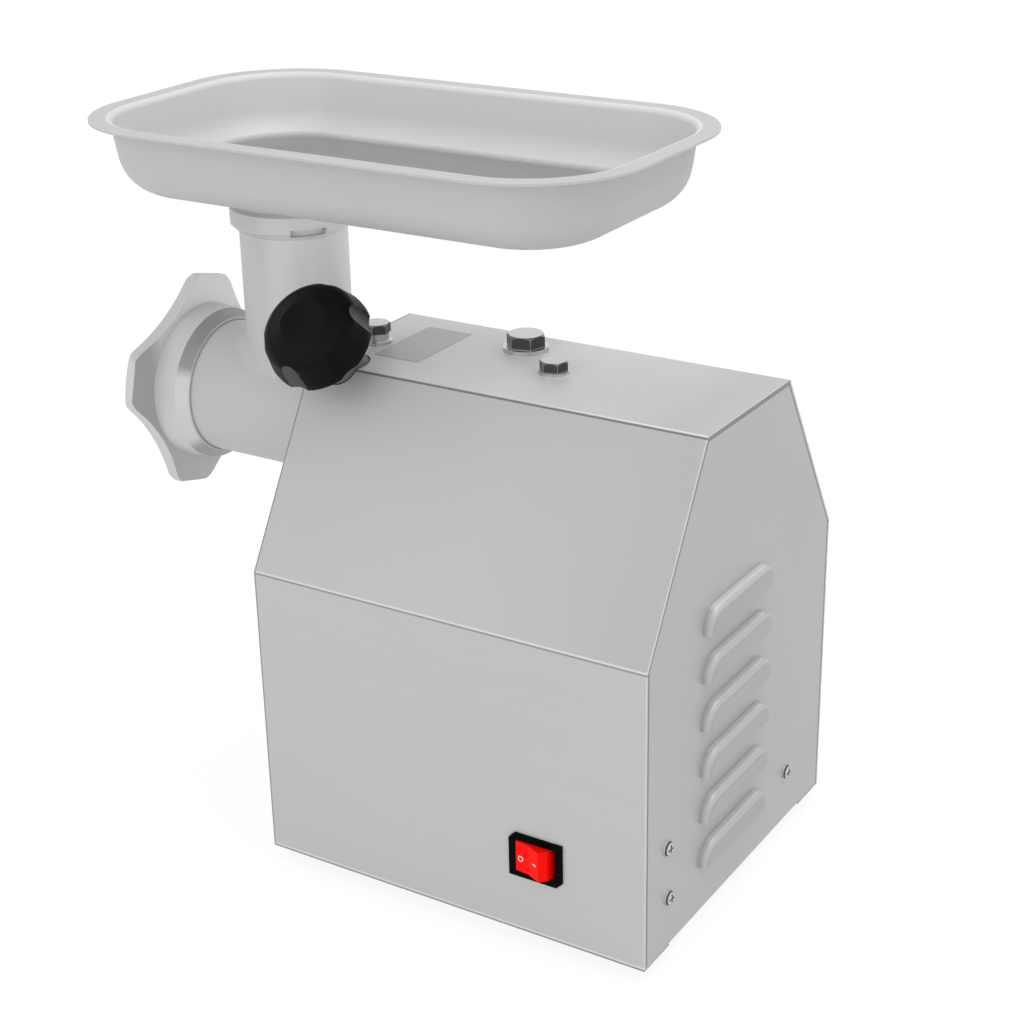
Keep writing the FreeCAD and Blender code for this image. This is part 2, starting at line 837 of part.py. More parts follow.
def gear_profile(teeth, module):
    """Points of one tooth, centred on angle zero, as pairs of radius and angle."""
    pitch_radius = module * teeth / 2
    base_radius = pitch_radius * math.cos(math.radians(pressure_angle))
    tip_radius = pitch_radius + addendum * module
    root_radius = pitch_radius - dedendum * module
    start_radius = max(base_radius, root_radius + 0.1 * module)
    half_pitch = math.pi / (2 * teeth) - backlash / (4 * pitch_radius)
    flank = []
    for step in range(gear_flank_points):
        radius = start_radius + (tip_radius - start_radius) * step / (gear_flank_points - 1)
        rolled = math.acos(min(1.0, base_radius / radius))
        angle = half_pitch + involute(math.radians(pressure_angle)) - involute(rolled)
        flank.append((radius, angle))
    rising = [(root_radius, -flank[0][1])] + [(radius, -angle) for radius, angle in flank]
    falling = [(radius, angle) for radius, angle in reversed(flank)] + [(root_radius, flank[0][1])]
    return rising + falling


def gear(teeth, module, x0, width, z, first_angle, bore_radius):
    """A spur gear about the X axis, with a tooth at first_angle from +Y."""
    corners = []
    for tooth in range(teeth):
        middle = math.radians(first_angle) + 2 * math.pi * tooth / teeth
        for radius, angle in gear_profile(teeth, module):
            corners.append(V(x0, radius * math.cos(middle + angle), z + radius * math.sin(middle + angle)))
    wires = [Part.makePolygon(corners + corners[:1])]
    if bore_radius > 0:
        wires.append(Part.Wire(Part.makeCircle(bore_radius, V(x0, 0, z), V(1, 0, 0))))
    face = Part.Face(wires, "Part::FaceMakerBullseye")
    return face.extrude(V(width, 0, 0))


def gap_down(teeth):
    """The angle of a tooth that leaves a gap pointing straight down."""
    return -90 + 180 / teeth


def first_gear():
    return gear(first_gear_teeth, first_module, first_gear_x, first_gear_width, lay_z,
                gap_down(first_gear_teeth), lay_shaft_radius + running_gap)


def lay_shaft():
    pinion = gear(lay_pinion_teeth, second_module, output_gear_x, output_gear_width, lay_z, 90, 0)
    shaft = rod_x(lay_shaft_radius, chamber_front - lay_bearing_width + seat_gap,
                  cover_front + lay_bearing_width - seat_gap, 0, lay_z)
    return join([pinion, shaft])


def output_gear():
    return gear(output_gear_teeth, second_module, output_gear_x, output_gear_width, barrel_z,
                gap_down(output_gear_teeth), output_shaft_radius + running_gap)


def output_shaft():
    shaft = rod_x(output_shaft_radius, shaft_front, output_gear_x + output_gear_width, 0, barrel_z)
    half = tang_square / 2 + seat_gap
    depth = spigot_end + tang_length + 2
    return shaft.cut(block(shaft_front - cut_past, depth, -half, half, barrel_z - half, barrel_z + half))


# Gearbox
def gear_tip(teeth, module):
    return module * (teeth / 2 + addendum)


def chamber_circles(extra):
    return [
        (barrel_z, gear_tip(output_gear_teeth, second_module) + gear_room + extra),
        (lay_z, gear_tip(first_gear_teeth, first_module) + gear_room + extra),
        (motor_z, gear_tip(motor_pinion_teeth, first_module) + gear_room + extra),
    ]


def tangent_angles(circles):
    """Angles from +Y at which a straight side touches each pair of neighbouring circles."""
    angles = []
    for (z0, r0), (z1, r1) in zip(circles, circles[1:]):
        angles.append(math.asin((r1 - r0) / (z0 - z1)))
    return angles


def chamber_slab(extra, x0, x1):
    """A slab whose outline is drawn tight round the three gears."""
    circles = chamber_circles(extra)
    angles = [math.pi / 2] + tangent_angles(circles) + [-math.pi / 2]

    def on_circle(index, angle, side):
        z, radius = circles[index]
        return V(x0, side * radius * math.cos(angle), z + radius * math.sin(angle))

    edges = []
    for side in (1, -1):
        for index in range(len(circles)):
            start = angles[index]
            end = angles[index + 1]
            arc = Part.Arc(on_circle(index, start, side), on_circle(index, (start + end) / 2, side),
                           on_circle(index, end, side))
            edges.append(arc.toShape())
            if index + 1 < len(circles):
                line = Part.LineSegment(on_circle(index, end, side), on_circle(index + 1, end, side))
                edges.append(line.toShape())
    wire = Part.Wire(Part.__sortEdges__(edges))
    return Part.Face(wire).extrude(V(x1 - x0, 0, 0))


def cover_bolt_places():
    circles = chamber_circles(case_wall + cover_lug_out)
    high_angle, low_angle = tangent_angles(circles)

    def rim_point(index, angle):
        z, radius = circles[index]
        return radius * math.cos(angle), z + radius * math.sin(angle)

    upper = rim_point(0, high_angle)
    lower = rim_point(1, high_angle)
    middle = ((upper[0] + lower[0]) / 2, (upper[1] + lower[1]) / 2)
    places = []
    for side in (1, -1):
        for y, z in (middle, rim_point(1, 0.0), rim_point(1, low_angle)):
            places.append((side * y, z))
    return places


def top_pad(x, y, low):
    return rod_z(top_pad_radius, low, shell_top_inside - top_pad_gap, x, y)


def nose_flange_disc():
    """The flange behind the front panel, cut flat below the panel's upper rim."""
    start = sheet + seat_gap
    disc = rod_x(nose_flange_radius, start, start + nose_flange, 0, barrel_z)
    reach = 2 * nose_flange_radius
    top = shell_top_inside - 2 * sheet
    return disc.cut(block(start - cut_past, start + nose_flange + cut_past, -reach, reach, top, top + reach))


def gearbox_case():
    solids = [
        chamber_slab(case_wall, case_front, case_back),
        rod_x(nose_radius, nose_front, case_front + case_front_wall, 0, barrel_z),
        nose_flange_disc(),
        rod_x(lay_bearing_radius + bearing_boss_wall, chamber_front - lay_bearing_width - bearing_boss_wall,
              chamber_front, 0, lay_z),
        clamp_rod(clamp_boss_radius, nose_radius - bearing_boss_wall, clamp_boss_top),
    ]
    x, y = front_top_bolt
    solids.append(top_pad(x, y, barrel_z + nose_radius / 2))
    x, y = middle_top_bolt
    solids.append(top_pad(x, y, barrel_z + nose_radius / 2))
    for y, z in cover_bolt_places():
        solids.append(rod_x(cover_lug_radius, case_back - cover_lug_length, case_back, y, z))
    solid = join(solids)
    cuts = [
        chamber_slab(0, chamber_front, case_back + cut_past),
        rod_x(spigot_radius + running_gap, nose_front - cut_past, socket_end, 0, barrel_z),
        rod_x(output_bearing_radius + running_gap, shaft_front, case_front, 0, barrel_z),
        rod_x(output_shaft_radius + bearing_step, socket_end - cut_past, chamber_front + cut_past, 0, barrel_z),
        rod_x(lay_bearing_radius + running_gap, chamber_front - lay_bearing_width, chamber_front + cut_past, 0, lay_z),
        clamp_rod(clamp_stud_radius + running_gap, spigot_radius - cut_past, clamp_boss_top + cut_past),
    ]
    x, y = front_top_bolt
    cuts.append(rod_z(m8_radius + running_gap, shell_top_inside - m8_grip - seat_gap, housing_height, x, y))
    x, y = middle_top_bolt
    cuts.append(rod_z(m12_radius + running_gap, shell_top_inside - m12_grip - seat_gap, housing_height, x, y))
    for y, z in nose_bolt_places:
        cuts.append(rod_x(m6_radius + running_gap, 0, nose_bolt_reach + seat_gap, y, z))
    for y, z in cover_bolt_places():
        cuts.append(rod_x(m5_radius + running_gap, cover_back - cover_bolt_reach - seat_gap,
                          case_back + cut_past, y, z))
    return solid.cut(cuts)


def gearbox_gasket():
    solids = [chamber_slab(case_wall, case_back, cover_front)]
    for y, z in cover_bolt_places():
        solids.append(rod_x(cover_lug_radius, case_back, cover_front, y, z))
    cuts = [chamber_slab(0, case_back - cut_past, cover_front + cut_past)]
    for y, z in cover_bolt_places():
        cuts.append(rod_x(m5_radius + drill_gap, case_back - cut_past, cover_front + cut_past, y, z))
    return join(solids).cut(cuts)


def motor_flange_disc():
    """The cover's round flange for the motor, kept clear of the base plate."""
    disc = rod_x(motor_flange_radius, cover_front, cover_back, 0, motor_z)
    reach = 2 * motor_flange_radius
    floor = base_top + motor_flange_gap
    return disc.cut(block(cover_front - cut_past, cover_back + cut_past, -reach, reach, floor - reach, floor))


def gearbox_cover():
    x, y = rear_top_bolt
    lug_top = shell_top_inside - top_pad_gap
    lug_half = rear_lug_width / 2
    boss_end = cover_front + lay_bearing_width + bearing_boss_wall
    solids = [
        chamber_slab(case_wall, cover_front, cover_back),
        motor_flange_disc(),
        rod_x(lay_bearing_radius + bearing_boss_wall, cover_front, boss_end, 0, lay_z),
        block(cover_front, cover_back + rear_lug_length, y - lug_half, y + lug_half, barrel_z + rear_lug_rise, lug_top),
    ]
    for bolt_y, bolt_z in cover_bolt_places():
        solids.append(rod_x(cover_lug_radius, cover_front, cover_back, bolt_y, bolt_z))
    cuts = [
        rod_x(motor_shaft_radius + loose_gap, cover_front - cut_past, cover_back + cut_past, 0, motor_z),
        rod_x(lay_bearing_radius + running_gap, cover_front - cut_past, cover_front + lay_bearing_width, 0, lay_z),
        rod_z(m8_radius + running_gap, shell_top_inside - m8_grip - seat_gap, housing_height, x, y),
    ]
    for bolt_y, bolt_z in cover_bolt_places():
        cuts.append(rod_x(m5_radius + drill_gap, cover_front - cut_past, cover_back + cut_past, bolt_y, bolt_z))
    for tie_y, tie_z in tie_places:
        cuts.append(rod_x(tie_radius + running_gap, cover_front - cut_past, cover_back + cut_past, tie_y, tie_z))
    return join(solids).cut(cuts)


def cover_bolts():
    head = hex_prism_z(m5_flats, 0, m5_head, 0, 0)
    bolt = join([head, rod_z(m5_radius, -cover_bolt_reach, 0, 0, 0)])
    return group([along_x(bolt, cover_back, y, z) for y, z in cover_bolt_places()])


def nose_bolts():
    head = hex_prism_z(m6_flats, 0, m6_head, 0, 0)
    bolt = join([head, rod_z(m6_radius, -nose_bolt_reach, 0, 0, 0)])
    bolts = []
    for y, z in nose_bolt_places:
        placed = bolt.copy()
        placed.Placement = FreeCAD.Placement(V(0, y, z), FreeCAD.Rotation(V(0, 1, 0), -90))
        bolts.append(placed)
    return group(bolts)


def oil_seal():
    return ring_x(output_bearing_radius, output_shaft_radius + running_gap, shaft_front, seal_end, 0, barrel_z)


def output_bearings():
    rings = []
    for x in (bearing_1, bearing_2):
        rings.append(ring_x(output_bearing_radius, output_shaft_radius + running_gap, x,
                            x + output_bearing_width, 0, barrel_z))
    return group(rings)


def lay_bearings():
    rings = []
    for x in (chamber_front - lay_bearing_width, cover_front):
        rings.append(ring_x(lay_bearing_radius, lay_shaft_radius + running_gap, x, x + lay_bearing_width, 0, lay_z))
    return group(rings)


# Motor
def motor_shell():
    return ring_x(motor_radius, motor_radius - motor_wall, stator_front, stator_back, 0, motor_z)


def stator_core():
    return ring_x(motor_radius - motor_wall - running_gap, stator_bore_radius, stator_front, stator_back, 0, motor_z)


def stator_windings():
    rings = []
    for x0, x1 in ((stator_front - winding_length, stator_front), (stator_back, stator_back + winding_length)):
        rings.append(ring_x(winding_outer, winding_inner, x0, x1, 0, motor_z))
    return group(rings)


def motor_bell(outer_x, inner_x):
    """An end bell: a cup with a bearing boss and four ears for the tie bolts."""
    inward = math.copysign(1, inner_x - outer_x)

    def span(depth):
        return sorted([outer_x, outer_x + inward * depth])

    ends = span(bell_length)
    plate = span(bell_plate)
    boss = span(motor_bearing_width + 1)
    seat_radius = motor_bearing_radius + running_gap
    solids = [
        ring_x(motor_radius, motor_radius - bell_rim, ends[0], ends[1], 0, motor_z),
        rod_x(motor_radius, plate[0], plate[1], 0, motor_z),
        rod_x(seat_radius + motor_boss_wall, boss[0], boss[1], 0, motor_z),
    ]
    for y, z in tie_places:
        solids.append(rod_x(tie_ear_radius, ends[0], ends[1], y, z))
    cuts = [
        rod_x(motor_shaft_radius + loose_gap, ends[0] - cut_past, ends[1] + cut_past, 0, motor_z),
        rod_x(seat_radius, *sorted([outer_x + inward * 1.0, outer_x + inward * (bell_length + cut_past)]), 0, motor_z),
    ]
    ear_room = rod_x(winding_outer + 1, *sorted([outer_x + inward * bell_plate, inner_x]), 0, motor_z)
    room = ear_room.cut(rod_x(seat_radius + motor_boss_wall, ends[0] - cut_past, ends[1] + cut_past, 0, motor_z))
    for y, z in tie_places:
        cuts.append(rod_x(tie_radius + running_gap, ends[0] - cut_past, ends[1] + cut_past, y, z))
    return join(solids).cut(cuts + [room])


def motor_front_bell():
    return motor_bell(cover_back, stator_front)


def motor_rear_bell():
    return motor_bell(motor_back, stator_back)


def motor_bearings():
    rings = []
    for x in (cover_back + 1.0, motor_back - 1.0 - motor_bearing_width):
        rings.append(ring_x(motor_bearing_radius, motor_shaft_radius + running_gap, x, x + motor_bearing_width,
                            0, motor_z))
    return group(rings)


def motor_shaft():
    pinion = gear(motor_pinion_teeth, first_module, first_gear_x, first_gear_width, motor_z, 90, 0)
    tail = fan_x + fan_width + shaft_tail
    return join([pinion, rod_x(motor_shaft_radius, first_gear_x, tail, 0, motor_z)])


def rotor_core():
    return ring_x(stator_bore_radius - rotor_gap, motor_shaft_radius + running_gap, stator_front, stator_back,
                  0, motor_z)


def motor_fan():
    hub = rod_x(fan_hub_radius, fan_x, fan_x + fan_width, 0, motor_z)
    disc = rod_x(fan_radius, fan_x, fan_x + fan_disc, 0, motor_z)
    blades = []
    for step in range(fan_blades):
        blade = block(fan_x, fan_x + fan_width, -fan_blade_thickness / 2, fan_blade_thickness / 2,
                      motor_z + fan_hub_radius / 2, motor_z + fan_radius - 1)
        blades.append(blade.rotated(V(0, 0, motor_z), V(1, 0, 0), 360 * step / fan_blades))
    bore = rod_x(motor_shaft_radius + running_gap, fan_x - cut_past, fan_x + fan_width + cut_past, 0, motor_z)
    return join([hub, disc] + blades).cut(bore)


def motor_bolts():
    bolts = []
    for y, z in tie_places:
        shank = rod_x(tie_radius, cover_front, motor_back, y, z)
        head = along_x(hex_prism_z(m5_flats, 0, m5_head, 0, 0), motor_back, y, z)
        bolts.append(join([shank, head]))
    return group(bolts)


def motor_cradle():
    foot_top = base_top + cradle_foot
    foot_half = cradle_half_width + 2 * cradle_bolt_room
    solids = [block(cradle_front, cradle_back, -foot_half, foot_half, base_top, foot_top)]
    for x in (cradle_front, cradle_back - cradle_wall):
        solids.append(block(x, x + cradle_wall, -cradle_half_width, cradle_half_width, base_top, cradle_top))
    cuts = [rod_x(motor_radius + seat_gap, cradle_front - cut_past, cradle_back + cut_past, 0, motor_z)]
    for y, z in tie_places:
        cuts.append(rod_x(tie_radius + loose_gap, cradle_front - cut_past, cradle_back + cut_past, y, z))
    for x, y in cradle_bolt_places:
        cuts.append(rod_z(m6_radius + drill_gap, 0, foot_top + cut_past, x, y))
    return join(solids).cut(cuts)


def cradle_bolts():
    seat = base_top + cradle_foot
    bolts = []
    for x, y in cradle_bolt_places:
        head = hex_prism_z(m6_flats, seat, seat + m6_head, x, y)
        shank = rod_z(m6_radius, -1.0, seat, x, y)
        bolts.append(join([head, shank]))
    return group(bolts)


# Electrical pieces on the rear panel
def capacitor():
    y, z = clamp_screw
    back = rear_inside - strap_thickness
    return rod_x(capacitor_radius, back - capacitor_length, back, y + capacitor_offset, z)


def capacitor_clamp():
    y, z = clamp_screw
    back = rear_inside
    front = back - strap_thickness
    centre = y + capacitor_offset
    ring = ring_x(capacitor_radius + running_gap + strap_thickness, capacitor_radius + running_gap,
                  front - strap_width, back, centre, z)
    plate = block(front, back, y - bracket_margin, centre, z - bracket_margin, z + bracket_margin)
    hole = rod_x(m4_radius + running_gap, front - cut_past, back + cut_past, y, z)
    return join([ring, plate]).cut(hole)


def bracket_box():
    ys = [y for y, z in bracket_screws]
    zs = [z for y, z in bracket_screws]
    return (min(ys) - bracket_margin, max(ys) + bracket_margin, min(zs) - bracket_margin, max(zs) + bracket_margin)


def terminal_bracket():
    y0, y1, z0, z1 = bracket_box()
    plate = block(rear_inside - strap_thickness, rear_inside, y0, y1, z0, z1)
    holes = []
    for y, z in bracket_screws:
        holes.append(rod_x(m4_radius + running_gap, rear_inside - strap_thickness - cut_past,
                           rear_inside + cut_past, y, z))
    return plate.cut(holes)


def terminal_block():
    y0, y1, z0, z1 = bracket_box()
    y = (y0 + y1) / 2
    z = (z0 + z1) / 2
    back = rear_inside - strap_thickness
    body = block(back - terminal_depth, back, y - terminal_width / 2, y + terminal_width / 2,
                 z - terminal_height / 2, z + terminal_height / 2)
    ways = []
    for step in (-1, 0, 1):
        ways.append(rod_y(1.8, y - terminal_width, y + terminal_width, back - terminal_depth / 2, z + step * 6.0))
    return body.cut(ways)


# Clamp screw
def clamp_pad():
    start = spigot_radius + running_gap + loose_gap
    return clamp_rod(clamp_stud_radius, start, start + clamp_pad_length)


def clamp_stud():
    start = spigot_radius + running_gap + loose_gap + clamp_pad_length
    return clamp_rod(clamp_stud_radius, start, knob_back + knob_stud_reach)


def clamp_knob():
    """A round knob with a dished crown, drawn upwards and then leaned over to the clamp's angle."""
    profile = [
        V(0, 0, knob_hub_bottom - knob_back),
        V(knob_hub_radius, 0, knob_hub_bottom - knob_back),
        V(knob_hub_radius, 0, 0),
        V(knob_rim_radius, 0, 0),
        V(knob_rim_radius, 0, knob_rim_height),
        V(knob_shoulder_radius, 0, knob_shoulder_height),
    ]
    brow = V(knob_brow_radius, 0, knob_brow_height)
    lean = (knob_shoulder_radius - knob_brow_radius) * 0.28
    bulge = V(knob_shoulder_radius - lean, 0, knob_brow_height - (knob_brow_height - knob_shoulder_height) * 0.38)
    crown = V(knob_dish_radius, 0, knob_crown_height)
    dish = V(0, 0, knob_crown_height - knob_dish_depth)
    edges = list(Part.makePolygon(profile).Edges)
    edges.append(Part.Arc(profile[-1], bulge, brow).toShape())
    edges.append(Part.LineSegment(brow, crown).toShape())
    edges.append(Part.LineSegment(crown, dish).toShape())
    edges.append(Part.LineSegment(dish, profile[0]).toShape())
    solid = Part.Face(Part.Wire(edges)).revolve(V(0, 0, 0), V(0, 0, 1), 360)
    cuts = [rod_z(clamp_stud_radius + running_gap, knob_hub_bottom - knob_back - cut_past,
                  knob_stud_reach + running_gap, 0, 0)]
    flute_centre = knob_rim_radius - knob_flute_back + knob_flute_radius
    for step in range(knob_flutes):
        turn = knob_flute_turn + 360 * step / knob_flutes
        x = flute_centre * math.cos(math.radians(turn))
        y = flute_centre * math.sin(math.radians(turn))
        flute = rod_z(knob_flute_radius, -knob_crown_height, 2 * knob_crown_height, 0, 0)
        inward = FreeCAD.Rotation(V(0, 0, 1), turn).multiply(FreeCAD.Rotation(V(0, 1, 0), -knob_flute_lean))
        flute.Placement = FreeCAD.Placement(V(x, y, 0), inward)
        cuts.append(flute)
    knob = solid.cut(cuts)
    lean_back = FreeCAD.Rotation(V(1, 0, 0), 90 - clamp_angle)
    knob.Placement = FreeCAD.Placement(clamp_point(knob_back), lean_back)
    return knob


# Grinding head
def grinder_head():
    long_end = nose_front + 3 * neck_blend
    barrel = rod_x(barrel_radius, barrel_front, long_end, 0, barrel_z)
    neck = rod_z(neck_radius, barrel_z, bead_top - 1, neck_x, 0)
    rim = rod_z(neck_rim_radius, bead_bottom, neck_top, neck_x, 0)
    body = barrel.fuse(neck).removeSplitter()
    seam = []
    for edge in body.Edges:
        box = edge.BoundBox
        if box.ZMin > barrel_z and box.ZMax < barrel_z + barrel_radius + 1 and box.XLength > neck_radius:
            seam.append(edge)
    body = body.makeFillet(neck_blend, seam)
    reach = 2 * barrel_radius
    spare = block(nose_front, long_end + cut_past, -reach, reach, barrel_z - reach, barrel_z + reach)
    body = body.cut(spare)
    low = bead_bottom - bead_taper
    bead = turned_z([(0, low), (neck_radius, low), (bead_radius, bead_bottom),
                     (bead_radius, bead_top - bead_round), (bead_radius - bead_round, bead_top), (0, bead_top)],
                    neck_x, 0)
    spigot = rod_x(spigot_radius, nose_front, spigot_end, 0, barrel_z)
    body = join([body, bead, rim, spigot])
    notch_low = bead_bottom - bead_notch_height / 2
    notch_ring = ring_z(bead_radius + cut_past, bead_radius - bead_notch_depth, notch_low,
                        notch_low + bead_notch_height, neck_x, 0)
    reach = 2 * bead_radius
    half = math.radians(bead_notch_width / 2)
    middle = math.radians(bead_notch_angle)
    wedge = [V(neck_x, 0, notch_low)]
    for angle in (middle - half, middle + half):
        wedge.append(V(neck_x + reach * math.cos(angle), reach * math.sin(angle), notch_low))
    sector = Part.Face(Part.makePolygon(wedge + wedge[:1])).extrude(V(0, 0, bead_notch_height))
    cuts = [
        rod_x(auger_bore_radius, mouth_back - cut_past, head_wall_x, 0, barrel_z),
        rod_x(plate_radius + running_gap, barrel_front - cut_past, mouth_back, 0, barrel_z),
        rod_z(neck_radius - neck_wall, barrel_z, neck_top + cut_past, neck_x, 0),
        rod_x(bush_radius + running_gap, head_wall_x - cut_past, spigot_end + cut_past, 0, barrel_z),
        notch_ring.common(sector),
        rod_z(key_radius + running_gap, barrel_z - plate_radius - key_reach, barrel_z - auger_bore_radius,
              plate_back - key_setback + key_radius, 0),
    ]
    return body.cut(cuts)


def rear_bush():
    return ring_x(bush_radius, journal_radius + running_gap, head_wall_x, spigot_end - 1, 0, barrel_z)


def thrust_ring():
    return ring_x(thrust_washer_radius, journal_radius + running_gap, head_wall_x - thrust_washer,
                  head_wall_x, 0, barrel_z)


def auger():
    start = auger_front
    end = auger_back
    core = rod_x(auger_core_radius, start, end, 0, barrel_z)
    length = end - start - 2 * auger_flight_thickness
    helix = Part.makeHelix(auger_pitch, length, auger_core_radius - 1)
    half = auger_flight_thickness / 2
    inner = auger_core_radius - 1
    corners = [V(inner, 0, -half), V(auger_flight_radius, 0, -half * 0.6),
               V(auger_flight_radius, 0, half * 0.6), V(inner, 0, half)]
    profile = Part.makePolygon(corners + corners[:1])
    flight = Part.Wire(helix).makePipeShell([profile], True, True)
    flight.Placement = FreeCAD.Placement(V(start + auger_flight_thickness, 0, barrel_z), FreeCAD.Rotation(V(0, 1, 0), 90))
    journal = rod_x(journal_radius, end, spigot_end, 0, barrel_z)
    half_tang = tang_square / 2
    tang = block(spigot_end - 1, spigot_end + tang_length, -half_tang, half_tang,
                 barrel_z - half_tang, barrel_z + half_tang)
    half_drive = drive_square / 2
    drive = block(plate_back, start + 1, -half_drive, half_drive, barrel_z - half_drive, barrel_z + half_drive)
    stud = rod_x(stud_radius, plate_front + 1, plate_back, 0, barrel_z)
    return join([core, flight, journal, tang, drive, stud])


def cross_knife():
    face = plate_back + seat_gap
    back = face + knife_thickness - seat_gap
    hub = rod_x(knife_hub_radius, face, back, 0, barrel_z)
    arms = []
    half = knife_arm_width / 2
    for step in range(4):
        points = [(-half, 0), (-half, knife_radius), (half * 0.35, knife_radius), (half, 0)]
        arm = prism_x([(y, barrel_z + z) for y, z in points], face, face + knife_arm_thickness)
        arms.append(arm.rotated(V(0, 0, barrel_z), V(1, 0, 0), 45 + 90 * step))
    tips = rod_x(knife_radius, face - cut_past, back + cut_past, 0, barrel_z)
    half_drive = drive_square / 2 + running_gap
    hole = block(face - cut_past, back + cut_past, -half_drive, half_drive, barrel_z - half_drive, barrel_z + half_drive)
    return join([hub] + arms).common(tips).cut(hole)


def grinding_plate():
    x = plate_front
    centre = V(x, 0, barrel_z)
    wires = [Part.Wire(Part.makeCircle(plate_radius, centre, V(1, 0, 0))),
             Part.Wire(Part.makeCircle(stud_radius + running_gap, centre, V(1, 0, 0)))]
    key_angle = -math.pi / 2
    for ring_radius, count in plate_hole_rings:
        for step in range(count):
            turn = key_angle + 2 * math.pi * (step + 0.5) / count
            place = V(x, ring_radius * math.cos(turn), barrel_z + ring_radius * math.sin(turn))
            wires.append(Part.Wire(Part.makeCircle(plate_hole_radius, place, V(1, 0, 0))))
    solid = Part.Face(wires, "Part::FaceMakerBullseye").extrude(V(plate_thickness, 0, 0))
    half = key_radius + seat_gap
    notch = block(plate_back - 2 * key_radius - seat_gap - 1, plate_back + cut_past, -half, half,
                  barrel_z - plate_radius - cut_past, barrel_z - plate_radius + key_reach + seat_gap)
    return solid.cut(notch)


def plate_key():
    x = plate_back - key_setback + key_radius
    return rod_z(key_radius, barrel_z - plate_radius - key_reach, barrel_z - plate_radius + key_reach, x, 0)


def lobed_slab(x0, x1):
    """The ring nut's front outline: round lobes with flat ends, joined by hollow sides."""
    half_step = math.pi / nut_lobes
    tip_centre = nut_lobe_radius - nut_tip_round
    cosine = math.cos(half_step)
    hollow = ((tip_centre ** 2 + nut_valley_radius ** 2 - 2 * tip_centre * nut_valley_radius * cosine
               - nut_tip_round ** 2) / (2 * (nut_tip_round - nut_valley_radius + tip_centre * cosine)))
    hollow_centre = nut_valley_radius + hollow

    def place(radius, angle):
        return V(x0, -radius * math.cos(angle), barrel_z + radius * math.sin(angle))

    edges = []
    flats = []
    for lobe in range(nut_lobes):
        middle = math.radians(nut_turn) + 2 * half_step * lobe
        flats.append(place(nut_flat / cosine, middle + half_step))
        joints = []
        for side in (-1, 1):
            tip = place(tip_centre, middle)
            valley = place(hollow_centre, middle + side * half_step)
            joints.append(tip + (valley - tip) * (nut_tip_round / (nut_tip_round + hollow)))
        edges.append(Part.Arc(joints[0], place(nut_lobe_radius, middle), joints[1]).toShape())
        after = place(tip_centre, middle + 2 * half_step)
        valley = place(hollow_centre, middle + half_step)
        next_joint = after + (valley - after) * (nut_tip_round / (nut_tip_round + hollow))
        edges.append(Part.Arc(joints[1], place(nut_valley_radius, middle + half_step), next_joint).toShape())
    lobes = Part.Face(Part.Wire(edges)).extrude(V(x1 - x0, 0, 0))
    return lobes.common(Part.Face(Part.makePolygon(flats + flats[:1])).extrude(V(x1 - x0, 0, 0)))


def ring_nut():
    reach = nut_tip_radius + nut_edge
    slope_start = nut_front + nut_tip_thickness
    slope_end = slope_start + nut_slope_length
    turned = turned_x([
        (nut_front, 0), (nut_front, nut_tip_radius - 2 * nut_edge), (nut_front + 2 * nut_edge, reach),
        (slope_start - nut_edge, reach), (slope_start, nut_tip_radius - nut_edge),
        (slope_end, nut_shoulder_radius), (nut_collar_end, nut_collar_radius),
        (nut_tail_end, nut_tail_radius), (nut_tail_end, 0)], 0, barrel_z)
    solid = turned.common(lobed_slab(nut_front - cut_past, nut_tail_end + cut_past))
    mouth = turned_x([(nut_front - cut_past, 0), (nut_front - cut_past, nut_mouth_radius + cut_past + 1.5),
                      (nut_front + 1.5, nut_mouth_radius), (plate_front, nut_mouth_radius), (plate_front, 0)],
                     0, barrel_z)
    bore = rod_x(barrel_radius + loose_gap, nut_front + nut_lip, nut_tail_end + cut_past, 0, barrel_z)
    return solid.cut([mouth, bore])


# Feed tray
def rounded_rectangle(length, width, corner, x, z):
    half_length = length / 2
    half_width = width / 2
    bend = corner * (1 - math.sqrt(0.5))
    edges = []
    for side_x, side_y in ((1, 1), (-1, 1), (-1, -1), (1, -1)):
        outer_x = V(x + side_x * half_length, side_y * (half_width - corner), z)
        middle = V(x + side_x * (half_length - bend), side_y * (half_width - bend), z)
        outer_y = V(x + side_x * (half_length - corner), side_y * half_width, z)
        start, end = (outer_x, outer_y) if side_x * side_y > 0 else (outer_y, outer_x)
        if edges:
            edges.append(Part.LineSegment(edges[-1].Vertexes[-1].Point, start).toShape())
        edges.append(Part.Arc(start, middle, end).toShape())
    edges.append(Part.LineSegment(edges[-1].Vertexes[-1].Point, edges[0].Vertexes[0].Point).toShape())
    return Part.Wire(edges)


def tray_well(inset, floor_z, top_z, floor_round):
    """The tray's drafted well as a solid, with a rounded edge round its floor."""
    length = tray_length - 2 * tray_flange - 2 * inset
    width = tray_width - 2 * tray_flange - 2 * inset
    corner = tray_corner - tray_flange - inset
    depth = tray_rim_z - tray_floor_z
    upper = tray_draft * (top_z - tray_rim_z) / depth
    lower = tray_draft * (tray_rim_z - floor_z) / depth
    top = rounded_rectangle(length + 2 * upper, width + 2 * upper, corner + upper, tray_x, top_z)
    bottom = rounded_rectangle(length - 2 * lower, width - 2 * lower, corner - lower + tray_floor_corner_gain,
                               tray_x, floor_z)
    solid = Part.makeLoft([bottom, top], True, True)
    floor_edges = [edge for edge in solid.Edges if edge.BoundBox.ZMax < floor_z + 0.01]
    return solid.makeFillet(floor_round, floor_edges)


